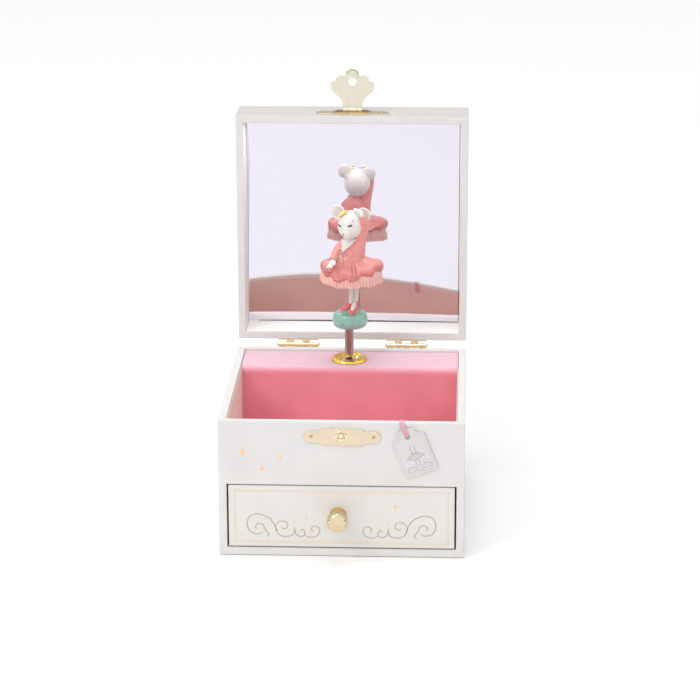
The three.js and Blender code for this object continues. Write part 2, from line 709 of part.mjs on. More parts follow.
// One pressed bracket: two arms for the cylinder's arbor and one for the spindle.
function trainBracket() {
  const front = BEDPLATE_FRONT - GLUE;
  const foot = front - 1.4;
  const pieces = [box([-11, foot, TRAIN_Z - 4], [36, front, TRAIN_Z + 4])];
  for (const low of [-11, 34.2]) {
    pieces.push(box([low, SPINDLE_Y - 4, TRAIN_Z - 4], [low + 1.8, front, TRAIN_Z + 4]));
  }
  const shelf = TRAIN_Z + 11;
  const [left, right] = [SPINDLE_X - 5, SPINDLE_X + 5];
  pieces.push(box([left, foot, TRAIN_Z], [right, front, shelf + 1.6]));
  pieces.push(box([left, SPINDLE_Y - 5, shelf], [right, front, shelf + 1.6]));
  const arborHole = atTrain(turnedX(rod(1.25, -12, 37), 16));
  const spindleHole = turnedZ(rod(SPINDLE_R + 0.2, shelf - 1, shelf + 3), 20);
  return cut(join(...pieces), arborHole, spindleHole.translate(SPINDLE_X, SPINDLE_Y, 0));
}

// The spring drum: a cup that opens towards the bedplate, with crown teeth on its front.
function springBarrel() {
  const discFace = SPINDLE_Y + PINION_R + 0.7;
  const crown = crownWheel(BARREL_TEETH, 0, 1.4).rotateX(Math.PI / 2);
  const cup = turnedY([[0, 1.2], [9, 1.2], [9, 5.8], [8.4, 5.8], [8.4, 1.8], [0, 1.8]], 32);
  const bore = turnedY(rod(1.9, -3, 3), 16);
  return cut(join(crown, cup), bore).translate(BARREL_X, discFace, TRAIN_Z);
}

// The mainspring: a flat strip coiled inside the drum.
function mainspring() {
  const turns = 3.5;
  const steps = 42;
  const thick = 0.45;
  const at = (i, extra) => {
    const angle = 2 * Math.PI * turns * i / steps;
    const r = 3 + 4.6 * i / steps + extra;
    return new THREE.Vector2(r * Math.cos(angle), r * Math.sin(angle));
  };
  const outline = [];
  for (let i = 0; i <= steps; i += 1) {
    outline.push(at(i, thick));
  }
  for (let i = steps; i >= 0; i -= 1) {
    outline.push(at(i, 0));
  }
  const start = SPINDLE_Y + PINION_R + 0.7 + 2.1;
  return plate(new THREE.Shape(outline), 3.2, start + 3.2, 0).translate(BARREL_X, 0, TRAIN_Z);
}

// Winding arbor and its butterfly key behind the case.
function buildKey(parent) {
  const inner = SPINDLE_Y + PINION_R + 1.2;
  const arbor = turnedY([[0, inner], [1.6, inner], [1.6, HALF_D + 5], [0, HALF_D + 5]], 16);
  place(parent, 'winding_arbor', arbor.translate(BARREL_X, 0, TRAIN_Z), steel());
  const start = HALF_D + 0.8;
  const sleeve = turnedY([[1.9, start], [3, start], [3, start + 6], [2.2, start + 7.5], [0, start + 7.5],
    [0, start + 5], [1.9, start + 5], [1.9, start]], 20);
  const wing = new THREE.Shape();
  wing.moveTo(-2, 0);
  wing.quadraticCurveTo(-11, -1, -11, 6);
  wing.quadraticCurveTo(-10.5, 11.5, -5, 10.5);
  wing.quadraticCurveTo(-2, 9.5, 0, 6.5);
  wing.quadraticCurveTo(2, 9.5, 5, 10.5);
  wing.quadraticCurveTo(10.5, 11.5, 11, 6);
  wing.quadraticCurveTo(11, -1, 2, 0);
  const options = { depth: 1.8, bevelEnabled: false, curveSegments: 4 };
  const wings = weld(new THREE.ExtrudeGeometry(wing, options)).translate(0, start + 6, -0.9);
  const holes = [-6.6, 6.6].map((x) => turnedZ(rod(2, -3, 3), 16).translate(x, start + 11.5, 0));
  place(parent, 'winding_key',
    cut(join(sleeve, wings), ...holes).translate(BARREL_X, 0, TRAIN_Z), brass());
}

// The pinned cylinder on its arbor, with its pinion, crown wheel and governor wheel.
function buildCylinder(parent) {
  const barrelMesh = BARREL_X + BARREL_R;
  const halfTooth = Math.PI / PINION_TEETH;
  const pinion = aboutX(spurWheel(PINION_TEETH, -1, 1, halfTooth + Math.PI / 2));
  const crownFace = SPINDLE_X + PINION_R + 0.7;
  const crown = crownWheel(CROWN_TEETH, 0, 1.4).rotateY(-Math.PI / 2);
  const arbor = turnedX(rod(1, barrelMesh - 2, 37), 16);
  const wheel = aboutX(spurWheel(GOVERNOR_TEETH, 31, 32.6));
  place(parent, 'cylinder_arbor',
    atTrain(join(arbor, pinion.translate(barrelMesh, 0, 0), crown.translate(crownFace, 0, 0),
      wheel)), brass());
  place(parent, 'pinned_cylinder', atTrain(pinnedCylinder()), brass());
}

// A drum with short pins set on 18 tracks, by a simple rule that spreads them out.
function pinnedCylinder() {
  const radius = 6;
  const tracks = 18;
  const first = 7.1;
  const pitch = 23 / tracks;
  const drum = turnedX([[1.1, 6.3], [radius, 6.3], [radius, 29.7], [1.1, 29.7], [1.1, 6.3]], 32);
  const pieces = [drum];
  for (let track = 0; track < tracks; track += 1) {
    for (let beat = 0; beat < 2; beat += 1) {
      const angle = 2 * Math.PI * ((track * 7 + beat * 13) % 37) / 37;
      const pin = box([-0.2, radius - 0.3, -0.2], [0.2, radius + 0.6, 0.2]);
      pieces.push(pin.rotateX(angle).translate(first + track * pitch, 0, 0));
    }
  }
  return join(...pieces);
}

// The spindle that carries the dancer, with the pinion that the crown wheel turns.
function buildSpindle(parent) {
  const low = TRAIN_Z + CROWN_R - 1;
  const halfTooth = Math.PI / PINION_TEETH;
  const pinion = spurWheel(PINION_TEETH, low, low + 2, halfTooth);
  const shaft = turnedZ([[0, low], [SPINDLE_R, low], [SPINDLE_R, SPINDLE_TOP - 0.4],
    [SPINDLE_R - 0.4, SPINDLE_TOP], [0, SPINDLE_TOP]], 20);
  const collar = turnedZ(rod(3.4, TRAIN_Z + 13, TRAIN_Z + 15), 20);
  place(parent, 'dancer_spindle',
    join(pinion, shaft, collar).translate(SPINDLE_X, SPINDLE_Y, 0), steel());
}

// The governor: a worm of three starts that the wheel drives, and a fan of two blades.
function buildGovernor(parent) {
  const wheelTip = GOVERNOR_TEETH * MODULE / 2 + 0.45;
  const threadR = 1.9;
  const z = TRAIN_Z + wheelTip + threadR - 0.3;
  const lead = WORM_STARTS * Math.PI * MODULE;
  const rings = [];
  const steps = 12;
  const length = 7;
  for (let i = 0; i <= steps; i += 1) {
    const along = -length / 2 + length * i / steps;
    const radiusAt = (angle) => {
      const phase = Math.cos(WORM_STARTS * (angle - 2 * Math.PI * along / lead));
      return 1.2 + 0.25 * phase;
    };
    rings.push(ring(along, radiusAt, 12));
  }
  const worm = loft(rings).rotateX(Math.PI / 2);
  const shaft = turnedY(rod(0.7, -FAN_BACK - 3.2, 8), 12);
  const blades = box([-FAN_R, -FAN_BACK - 2.4, -0.25], [FAN_R, -FAN_BACK, 0.25]);
  const hub = turnedY(rod(1.4, -FAN_BACK - 2.7, -FAN_BACK + 0.3), 12);
  place(parent, 'governor_fan',
    join(worm, shaft, blades, hub).translate(31.8, SPINDLE_Y, z), brass());
  const front = BEDPLATE_FRONT - GLUE;
  const bracket = join(
    box([28, front - 1.4, z - 2.5], [36, front, z + 5]),
    box([28, SPINDLE_Y + 5, z + 2.6], [36, front, z + 4]),
    box([29.5, SPINDLE_Y + 5, z - 2.5], [34, SPINDLE_Y + 6.4, z + 4]));
  const hole = turnedY(rod(0.9, 0, 30), 12).translate(31.8, SPINDLE_Y - 1, z);
  place(parent, 'governor_bracket', cut(bracket, hole), brass());
}

// ---------------------------------------------------------------- dancer

// The dancer lifts off: a magnet in the green dome holds it to the steel spindle.
function buildDancer(parent) {
  const dome = turnedZ([[0, 0], [6.2, 0], [8.4, 1.3], [DOME_R, 3.2], [8.6, 5.2], [6.6, 7.4],
    [3.6, 8.8], [0, DOME_TOP - DOME_LOW]], 20);
  const socket = turnedZ(rod(2.7, -1, 3), 12);
  place(parent, 'dancer_dome',
    cut(dome, socket).translate(SPINDLE_X, SPINDLE_Y, DOME_LOW), finish(0x78be9f, 0.6));
  const magnet = turnedZ(rod(2.55, 0.05, 2.9), 12);
  place(parent, 'dancer_magnet', magnet.translate(SPINDLE_X, SPINDLE_Y, DOME_LOW), steel());
  place(parent, 'dancer', dancerBody().translate(SPINDLE_X, SPINDLE_Y, DOME_TOP), finish(0xe87b7b, 0.6));
}

// A cast mouse dancer on its toes: heights are above the top of the dome.
function dancerBody() {
  const skirtX = 1.2;
  const flare = (angle) => 1 + 0.04 * Math.cos(7 * angle);
  const skirtRings = [[10.6, 15.2], [13.2, 15.9], [16.5, 15.4], [20.5, 12.6], [24.5, 8.4],
    [27, 6.6], [30.5, 6.7], [35, 6.5], [38.5, 5], [40.5, 2.6]];
  const dress = loft(skirtRings.map(([z, r]) => {
    const wave = z < 22 ? flare : () => 1;
    return ring(z, (a) => r * wave(a), 21, [skirtX * (z < 24 ? 1 : 0.2), 0]);
  }));
  const pieces = [dress];
  pieces.push(limb([-1.2, 0.4, 3.2], [-0.4, 0.5, 13], 1.5, 2.3));
  pieces.push(limb([1.6, 0, 3.2], [2.4, 0, 13], 1.5, 2.3));
  pieces.push(limb([-0.3, -3.2, 1.5], [1.6, 0.2, 4.2], 1.1, 1.6));
  pieces.push(limb([-5, -1.4, 1.5], [-1.2, 0.4, 4.2], 1, 1.6));
  pieces.push(ellipsoid([-0.4, 0, 47.4], [6.4, 6.2, 7.9]));
  pieces.push(limb([-2, -4, 43.5], [-3.4, -6.6, 42.4], 3, 1.4));
  for (const x of [-7.2, 5.6]) {
    pieces.push(ellipsoid([x, 0.5, 54.2], [3.5, 1.5, 3.5]));
    pieces.push(limb([x * 0.6, 0, 50], [x, 0.5, 53.6], 2, 1.2));
  }
  pieces.push(limb([5.4, 0, 36], [9, 0.4, 39.5], 2.6, 2.4));
  pieces.push(limb([9, 0.4, 39.5], [6.6, -0.6, 53.5], 2.3, 1.3));
  pieces.push(limb([-5.4, 0, 35.5], [-9.6, -1.6, 29], 2.4, 2.2));
  pieces.push(limb([-9.6, -1.6, 29], [-8.4, -4, 26.6], 2.2, 1.6));
  return join(...pieces);
}

// ---------------------------------------------------------------- assembly

const jewelleryBox = new THREE.Group();
const lidGroup = turnedAboutX(jewelleryBox, PIVOT_Y, PIVOT_Z, -Math.PI / 2);
const haspGroup = turnedAboutX(lidGroup, HASP_Y, HASP_Z, -Math.PI / 2);

buildCase(jewelleryBox);
buildDrawer(jewelleryBox);
buildLid(lidGroup);
buildHinges(jewelleryBox, lidGroup);
buildStrike(jewelleryBox);
buildHaspBase(lidGroup);
place(haspGroup, 'hasp_plate', haspPlate(), paleGold());
buildRibbon(jewelleryBox);
buildTag(jewelleryBox);
buildMovementFrame(jewelleryBox);
place(jewelleryBox, 'spring_barrel', springBarrel(), brass());
place(jewelleryBox, 'mainspring', mainspring(), steel());
buildKey(jewelleryBox);
buildCylinder(jewelleryBox);
buildSpindle(jewelleryBox);
buildGovernor(jewelleryBox);
buildDancer(jewelleryBox);

export default jewelleryBox;
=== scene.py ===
import json
import math

import bmesh
import bpy
from mathutils import Matrix, Vector
from mathutils.bvhtree import BVHTree


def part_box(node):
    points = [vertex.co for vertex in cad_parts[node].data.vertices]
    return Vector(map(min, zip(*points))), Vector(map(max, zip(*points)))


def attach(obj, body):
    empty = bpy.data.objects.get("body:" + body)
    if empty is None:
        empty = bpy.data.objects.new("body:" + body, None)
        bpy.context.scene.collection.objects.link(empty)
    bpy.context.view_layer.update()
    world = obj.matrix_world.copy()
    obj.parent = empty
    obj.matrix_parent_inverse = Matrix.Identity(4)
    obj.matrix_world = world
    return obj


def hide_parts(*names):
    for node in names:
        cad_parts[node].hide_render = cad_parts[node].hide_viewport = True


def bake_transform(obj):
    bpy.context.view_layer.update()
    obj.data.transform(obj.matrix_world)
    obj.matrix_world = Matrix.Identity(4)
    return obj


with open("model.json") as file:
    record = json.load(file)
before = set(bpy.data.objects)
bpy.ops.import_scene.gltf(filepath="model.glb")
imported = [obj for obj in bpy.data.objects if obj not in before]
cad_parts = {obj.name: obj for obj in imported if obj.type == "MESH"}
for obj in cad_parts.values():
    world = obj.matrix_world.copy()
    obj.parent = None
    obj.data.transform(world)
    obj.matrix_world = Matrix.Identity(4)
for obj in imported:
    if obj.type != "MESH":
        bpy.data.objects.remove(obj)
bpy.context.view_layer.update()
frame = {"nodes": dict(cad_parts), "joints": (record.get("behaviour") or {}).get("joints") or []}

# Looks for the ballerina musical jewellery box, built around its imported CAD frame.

MM = 0.001
PRINT_THICK = 0.035

# ------------------------------------------------------------------ places from the frame


def corners(node):
    """Lowest and highest corner of a CAD node, in millimetres."""
    low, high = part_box(node)
    return [c / MM for c in low], [c / MM for c in high]


CASE_LOW = corners("left_side_panel")[0]
CASE_HIGH = corners("right_side_panel")[1]
WALL = corners("left_side_panel")[1][0] - CASE_LOW[0]
BAY_FLOOR = corners("base_panel")[1][2]
BAY_TOP = corners("front_panel")[0][2]
TRAY_TOP = corners("tray_floor")[1][2]
PARTITION = corners("partition")
PLATFORM = corners("platform")
DRAWER_LOW, DRAWER_HIGH = corners("drawer_front")
FRONT = CASE_LOW[1]
BACK = CASE_HIGH[1]
RIM = CASE_HIGH[2]
LID_LOW = corners("lid_left_rail")[0]
LID_HIGH = corners("lid_top_panel")[1]
MIRROR = corners("mirror")
LID_WALL = corners("lid_left_rail")[1][0] - LID_LOW[0]
SPINDLE = [(a + b) / 2 for a, b in zip(*corners("dancer_spindle"))]
SPINDLE_TOP = corners("dancer_spindle")[1][2]
JOINTS = {j["name"]: j for j in frame["joints"]}


def joint_place(name):
    """Where a joint is, in millimetres."""
    return [c / MM for c in JOINTS[name]["pos_m"]]


# ------------------------------------------------------------------ camera, light, floor


CAMERA_PLACE = Vector((59.64, -1262.88, 490.05))
CAMERA_TURN = (-2.6285, 17.6763, -0.1358)
CAMERA_LENS = 135.75
FLOOR_WHITE = (0.93, 0.93, 0.93)
FLOOR_COOL = (0.83, 0.835, 0.9)


def make_camera():
    """The photograph's view: right of centre, a little above, level to a seventh of a degree."""
    yaw, pitch, roll = (math.radians(a) for a in CAMERA_TURN)
    flat = Vector((math.sin(yaw), math.cos(yaw), 0))
    ahead = flat * math.cos(pitch) - Vector((0, 0, math.sin(pitch)))
    right = Vector((math.cos(yaw), -math.sin(yaw), 0))
    up = right.cross(ahead)
    across = right * math.cos(roll) + up * math.sin(roll)
    upward = up * math.cos(roll) - right * math.sin(roll)
    data = bpy.data.cameras.new("photo_camera")
    data.sensor_width = 36
    data.lens = CAMERA_LENS
    data.clip_start = 0.05
    data.clip_end = 20
    camera = bpy.data.objects.new("photo_camera", data)
    bpy.context.scene.collection.objects.link(camera)
    turn = Matrix((across, upward, -ahead)).transposed().to_4x4()
    camera.matrix_world = Matrix.Translation(CAMERA_PLACE * MM) @ turn
    bpy.context.scene.camera = camera


def area_light(name, place, aim, size, power, colour=(1, 1, 1)):
    data = bpy.data.lights.new(name, "AREA")
    data.shape = "RECTANGLE"
    data.size, data.size_y = size
    data.energy = power
    data.color = colour
    light = bpy.data.objects.new(name, data)
    light.location = place
    light.rotation_euler = (Vector(aim) - Vector(place)).to_track_quat("-Z", "Y").to_euler()
    bpy.context.scene.collection.objects.link(light)


def make_world():
    """A white surround with a grey band just over the horizon and a brown card low behind the box."""
    world = bpy.data.worlds.new("studio")
    bpy.context.scene.world = world
    world.use_nodes = True
    tree = world.node_tree
    background = tree.nodes["Background"]
    where = tree.nodes.new("ShaderNodeTexCoord")
    parts = tree.nodes.new("ShaderNodeSeparateXYZ")
    tree.links.new(where.outputs["Generated"], parts.inputs["Vector"])
    height = parts.outputs["Z"]
    sky = ramp_of(tree, height, [(0.0, (1, 1, 1)), (0.01, (0.2, 0.19, 0.2)), (0.1, (0.3, 0.29, 0.3)),
                                 (0.17, (1, 1, 1))])
    behind = ramp_of(tree, parts.outputs["Y"], [(0.3, 0.0), (0.75, 1.0)])
    low_part = ramp_of(tree, height, [(0.12, 0.0), (0.2, 1.0), (0.36, 1.0), (0.5, 0.0)])
    card = math_of(tree, "MULTIPLY", behind, low_part)
    tree.links.new(mix_of(tree, card, sky, (0.3, 0.27, 0.26)), background.inputs["Color"])
    background.inputs["Strength"].default_value = 1.06


def make_lights():
    area_light("key_light", (-0.75, -0.75, 1.1), (0, 0, 0.08), (0.5, 0.5), 4.4, (1, 0.985, 0.97))
    area_light("top_light", (0, 0.05, 1.3), (0, 0, 0.1), (0.35, 0.35), 2.2)
    under_rail = (LID_HIGH[2] - LID_WALL - 1.2) * MM
    area_light("lid_strip_light", (0, 0.07, under_rail), (0, 0.04, 0.09), (0.1, 0.01), 0.03)


def make_floor():
    """A wide white floor that turns a little cooler in front of the box."""
    half = 6
    mesh = bpy.data.meshes.new("floor")
    mesh.from_pydata([(-half, -half, 0), (half, -half, 0), (half, half, 0), (-half, half, 0)],
                     [], [(0, 1, 2, 3)])
    floor = bpy.data.objects.new("floor", mesh)
    floor.location.z = -0.0002
    bpy.context.scene.collection.objects.link(floor)
    mat, tree, bsdf = new_material("floor_white", FLOOR_WHITE, 0.8)
    parts = tree.nodes.new("ShaderNodeSeparateXYZ")
    tree.links.new(coordinates(tree), parts.inputs["Vector"])
    ahead = math_of(tree, "MULTIPLY", parts.outputs["Y"], -1)
    cool = ramp_of(tree, ahead, [(0.21, FLOOR_WHITE), (0.3, FLOOR_COOL)])
    tree.links.new(cool, bsdf.inputs["Base Color"])
    mesh.materials.append(mat)


# ------------------------------------------------------------------ material helpers


def new_material(name, colour, roughness, metallic=0.0):
    mat = bpy.data.materials.new(name)
    mat.use_nodes = True
    bsdf = mat.node_tree.nodes["Principled BSDF"]
    bsdf.inputs["Base Color"].default_value = (*colour, 1)
    bsdf.inputs["Roughness"].default_value = roughness
    bsdf.inputs["Metallic"].default_value = metallic
    return mat, mat.node_tree, bsdf


def coordinates(tree, stretch=(1, 1, 1)):
    where = tree.nodes.new("ShaderNodeTexCoord")
    mapping = tree.nodes.new("ShaderNodeMapping")
    mapping.inputs["Scale"].default_value = stretch
    tree.links.new(where.outputs["Object"], mapping.inputs["Vector"])
    return mapping.outputs["Vector"]


def noise_of(tree, vector, scale, detail=3.0, rough=0.5):
    node = tree.nodes.new("ShaderNodeTexNoise")
    node.inputs["Scale"].default_value = scale
    node.inputs["Detail"].default_value = detail
    node.inputs["Roughness"].default_value = rough
    tree.links.new(vector, node.inputs["Vector"])
    return node.outputs["Fac"]


def ramp_of(tree, value, stops):
    node = tree.nodes.new("ShaderNodeValToRGB")
    elements = node.color_ramp.elements
    while len(elements) < len(stops):
        elements.new(0.5)
    for element, (at, colour) in zip(elements, stops):
        element.position = at
        element.color = (*colour, 1) if hasattr(colour, "__len__") else (colour, colour, colour, 1)
    tree.links.new(value, node.inputs["Fac"])
    return node.outputs["Color"]


def mix_of(tree, factor, one, other, blend="MIX"):
    node = tree.nodes.new("ShaderNodeMix")
    node.data_type = "RGBA"
    node.blend_type = blend
    sockets = [node.inputs[0], node.inputs[6], node.inputs[7]]
    for socket, value in zip(sockets, (factor, one, other)):
        if isinstance(value, bpy.types.NodeSocket):
            tree.links.new(value, socket)
        elif hasattr(value, "__len__"):
            socket.default_value = (*value, 1)
        else:
            socket.default_value = value
    return node.outputs[2]


def math_of(tree, operation, one, other):
    node = tree.nodes.new("ShaderNodeMath")
    node.operation = operation
    for socket, value in zip(node.inputs, (one, other)):
        if isinstance(value, bpy.types.NodeSocket):
            tree.links.new(value, socket)
        else:
            socket.default_value = value
    return node.outputs[0]


def bump_of(tree, bsdf, height, strength, distance):
    node = tree.nodes.new("ShaderNodeBump")
    node.inputs["Strength"].default_value = strength
    node.inputs["Distance"].default_value = distance
    tree.links.new(height, node.inputs["Height"])
    tree.links.new(node.outputs["Normal"], bsdf.inputs["Normal"])


def attribute_of(tree, name):
    node = tree.nodes.new("ShaderNodeAttribute")
    node.attribute_name = name
    return node.outputs["Fac"]


def shade(colour, factor):
    return tuple(min(1, c * factor) for c in colour)


# ------------------------------------------------------------------ materials


def facing_up(tree, stops):
    """A ramp over how much a surface faces up."""
    way = tree.nodes.new("ShaderNodeNewGeometry")
    parts = tree.nodes.new("ShaderNodeSeparateXYZ")
    tree.links.new(way.outputs["Normal"], parts.inputs["Vector"])
    return ramp_of(tree, parts.outputs["Z"], stops)


def paper(name, colour, roughness=0.5, edge_shade=(0.66, 0.62, 0.57), top=None):
    """Smooth wrapped paper: faint mottling, fibres, painted shade in patches on the rounded edges that the
    bevel marks, and, where top is given, that colour on faces that face up.
    """
    mat, tree, bsdf = new_material(name, colour, roughness)
    vector = coordinates(tree)
    mottle = noise_of(tree, vector, 70, 4)
    base = ramp_of(tree, mottle, [(0.3, shade(colour, 0.965)), (0.7, shade(colour, 1.02))])
    # Painted shade: where top is given, that colour goes on faces that face up.
    if top:
        base = mix_of(tree, facing_up(tree, [(0.6, 0.0), (0.95, 1.0)]), base, top)
    fibre = noise_of(tree, vector, 2600, 2, 0.7)
    flecks = ramp_of(tree, fibre, [(0.36, 0.93), (0.5, 1.0)])
    base = mix_of(tree, 0.5, base, flecks, "MULTIPLY")
    # Painted shade: the edge colour, in patches, on the rounded edges that the bevel marked.
    patchy = ramp_of(tree, noise_of(tree, vector, 420, 3), [(0.35, 0.15), (0.7, 0.75)])
    edge_shade_mask = math_of(tree, "MULTIPLY", attribute_of(tree, "edge_shade"), patchy)
    base = mix_of(tree, edge_shade_mask, base, edge_shade)
    tree.links.new(base, bsdf.inputs["Base Color"])
    rough = ramp_of(tree, mottle, [(0.25, roughness - 0.07), (0.75, roughness + 0.08)])
    tree.links.new(rough, bsdf.inputs["Roughness"])
    bsdf.inputs["Specular IOR Level"].default_value = 0.4
    bump_of(tree, bsdf, fibre, 0.16, 0.00006)
    return mat


def satin(name, colour, sheen=0.35, roughness=0.5, threads=1500, top=None):
    """Woven satin: fine crossed threads, soft colour drift, and, where top is given, a painted sheen: paler
    where it faces up.
    """
    mat, tree, bsdf = new_material(name, colour, roughness)
    vector = coordinates(tree)
    drift = noise_of(tree, vector, 45, 3)
    base = ramp_of(tree, drift, [(0.3, shade(colour, 0.93)), (0.7, shade(colour, 1.05))])
    if top:
        # Painted sheen: the pale top colour mixed in on faces that face up.
        sheen_mask = facing_up(tree, [(0.35, 0.0), (0.8, 0.5), (0.98, 1.0)])
        pale = ramp_of(tree, drift, [(0.3, shade(top, 0.96)), (0.7, shade(top, 1.03))])
        base = mix_of(tree, sheen_mask, base, pale)
    warp = noise_of(tree, coordinates(tree, (1, 1, 0.06)), threads, 1)
    weft = noise_of(tree, coordinates(tree, (0.06, 0.06, 1)), threads, 1)
    weave = math_of(tree, "ADD", warp, weft)
    grain = ramp_of(tree, weave, [(0.35, 0.9), (0.65, 1.05)])
    tree.links.new(mix_of(tree, 0.6, base, grain, "MULTIPLY"), bsdf.inputs["Base Color"])
    bsdf.inputs["Sheen Weight"].default_value = sheen
    bsdf.inputs["Sheen Roughness"].default_value = 0.4
    bsdf.inputs["Sheen Tint"].default_value = (1, 0.93, 0.95, 1)
    bump_of(tree, bsdf, weave, 0.25, 0.00008)
    return mat


def metal(name, colour, roughness, scratch=(1, 1, 0.05), dark=0.6):
    """Plated or polished metal: tarnish in patches and fine scratches."""
    mat, tree, bsdf = new_material(name, colour, roughness, 1)
    vector = coordinates(tree)
    patches = noise_of(tree, vector, 260, 4)
    tarnish = ramp_of(tree, patches,
                      [(0.28, shade(colour, dark)), (0.5, colour), (0.8, shade(colour, 1.06))])
    tree.links.new(tarnish, bsdf.inputs["Base Color"])
    lines = noise_of(tree, coordinates(tree, scratch), 2400, 2)
    rough = ramp_of(tree, lines, [(0.3, roughness * 0.7), (0.7, roughness * 1.5)])
    tree.links.new(rough, bsdf.inputs["Roughness"])
    bump_of(tree, bsdf, lines, 0.06, 0.00003)
    return mat


def painted(name, colour, roughness=0.42, coat=0.15, depth=0.88, low=None):
    """Hand-painted cast resin: darker paint in patches, a thin varnish, and another tint below the waist."""
    mat, tree, bsdf = new_material(name, colour, roughness)
    vector = coordinates(tree)
    brush = noise_of(tree, vector, 330, 4)
    base = ramp_of(tree, brush, [(0.3, shade(colour, depth)), (0.65, shade(colour, 1.04))])
    # Below the waist: partly the skirt's own darker paint, partly painted shade on the skirt's sloping front.
    if low:
        parts = tree.nodes.new("ShaderNodeSeparateXYZ")
        tree.links.new(vector, parts.inputs["Vector"])
        waist = ramp_of(tree, parts.outputs["Z"], [(0.1195, 1.0), (0.1255, 0.0)])
        lower = ramp_of(tree, brush, [(0.3, shade(low, depth)), (0.65, shade(low, 1.04))])
        base = mix_of(tree, waist, base, lower)
    tree.links.new(base, bsdf.inputs["Base Color"])
    fine = noise_of(tree, vector, 2200, 3)
    rough = ramp_of(tree, fine, [(0.3, roughness - 0.08), (0.7, roughness + 0.1)])
    tree.links.new(rough, bsdf.inputs["Roughness"])
    bsdf.inputs["Coat Weight"].default_value = coat
    bsdf.inputs["Coat Roughness"].default_value = 0.25
    bump_of(tree, bsdf, fine, 0.12, 0.00006)
    return mat


def silvered():
    """Silvered glass with a faint haze in patches."""
    mat, tree, bsdf = new_material("silvered_glass", (0.81, 0.785, 0.82), 0.01, 1)
    vector = coordinates(tree)
    haze = noise_of(tree, vector, 25, 3)
    rough = ramp_of(tree, haze, [(0.4, 0.004), (0.8, 0.03)])
    tree.links.new(rough, bsdf.inputs["Roughness"])
    return mat


def foil(name, colour, roughness=0.35, metallic=0.5):
    """Printed foil or ink, a little lighter where the paper's grain shows."""
    mat, tree, bsdf = new_material(name, colour, roughness, metallic)
    vector = coordinates(tree)
    grain = noise_of(tree, vector, 3500, 2)
    base = ramp_of(tree, grain, [(0.3, shade(colour, 1.12)), (0.6, colour)])
    tree.links.new(base, bsdf.inputs["Base Color"])
    bump_of(tree, bsdf, grain, 0.2, 0.00003)
    return mat


WHITE_PAPER = paper("white_paper", (0.735, 0.72, 0.705))
# The lid's paper is the white paper with painted shade on faces that face up.
LID_PAPER = paper("lid_paper", (0.735, 0.72, 0.705), top=(0.6, 0.58, 0.565))
# A brighter copy of the white paper: painted light for the light that the mirror throws onto the lid's bottom
# rail.
RAIL_LIGHT_PAPER = paper("painted_light_paper", (0.97, 0.95, 0.94), 0.4)
DRAWER_PAPER = paper("drawer_paper", (0.75, 0.725, 0.69))
PINK_SATIN = satin("pink_satin", (0.78, 0.28, 0.34))
DUSTY_SATIN = satin("dusty_satin", (0.73, 0.61, 0.52), 0.2)
# The shelf satin's pale top colour is painted sheen on its up-facing faces.
SHELF_SATIN = satin("shelf_satin", (0.79, 0.285, 0.35), top=(0.735, 0.475, 0.56))
GOLD = metal("polished_gold", (0.93, 0.69, 0.3), 0.12)
RING_GOLD = metal("ring_gold", (0.95, 0.66, 0.12), 0.13, dark=0.7)
HINGE_GOLD = metal("hinge_gold", (0.88, 0.73, 0.49), 0.06, dark=0.75)
KNOB_GOLD = metal("knob_gold", (0.7, 0.585, 0.375), 0.06, dark=0.85)
# A darker, warmer copy of the knob's gold: painted reflection on the knob's back part.
KNOB_BACK_REFLECTION_GOLD = metal("knob_neck_painted_reflection", (0.72, 0.5, 0.22), 0.08, dark=0.7)
STRIKE_GOLD = metal("strike_gold", (0.755, 0.635, 0.465), 0.22, (1, 1, 1), 0.97)
TACK_GOLD = metal("tack_gold", (0.5, 0.4, 0.26), 0.2, dark=0.6)
HASP_GOLD = metal("hasp_gold", (0.84, 0.785, 0.62), 0.3, (1, 1, 1), 0.98)
BOSS_GOLD = metal("boss_gold", (0.62, 0.45, 0.22), 0.1, dark=0.7)
BRASS = metal("brass", (0.74, 0.54, 0.22), 0.3)
STEEL = metal("steel", (0.6, 0.59, 0.58), 0.2, dark=0.75)
STEM_STEEL = metal("stem_steel", (0.45, 0.385, 0.355), 0.07, (1, 1, 0.02), 0.88)
# Not a metal part: a dark finish for painted shadow at the mirror's edges.
GAP_SHADOW_DARK = metal("painted_gap_shadow", (0.12, 0.11, 0.1), 0.4)
SILVERED = silvered()
GREEN = painted("green_paint", (0.25, 0.51, 0.42), 0.16, 1.0)
# The darker low tint is partly the skirt's own paint and partly painted shade.
CORAL = painted("coral_paint", (0.78, 0.3, 0.275), 0.34, 0.45, low=(0.585, 0.16, 0.14))
FRILL = painted("frill_paint", (0.88, 0.53, 0.47), 0.5)
SHOE = painted("shoe_paint", (0.75, 0.17, 0.16), 0.35, 0.4)
FUR = painted("white_paint", (0.77, 0.735, 0.7), 0.42, depth=0.93)
EAR_SHADE = painted("ear_shade_paint", (0.68, 0.61, 0.55), 0.45)
NOSE = painted("nose_paint", (0.36, 0.27, 0.28), 0.4)
INK = painted("black_paint", (0.02, 0.018, 0.018), 0.35)
GREY_INK = foil("grey_ink", (0.36, 0.33, 0.36), 0.6, 0.0)
MAUVE_INK = foil("mauve_ink", (0.49, 0.4, 0.375), 0.5, 0.25)
FRAME_INK = foil("frame_ink", (0.74, 0.6, 0.43), 0.45, 0.2)
STAR_FOIL = foil("star_foil", (0.86, 0.57, 0.29), 0.4, 0.3)
ORANGE_FOIL = foil("orange_foil", (0.9, 0.53, 0.28), 0.4, 0.25)
MINT_INK = foil("mint_ink", (0.5, 0.58, 0.36), 0.5, 0.1)
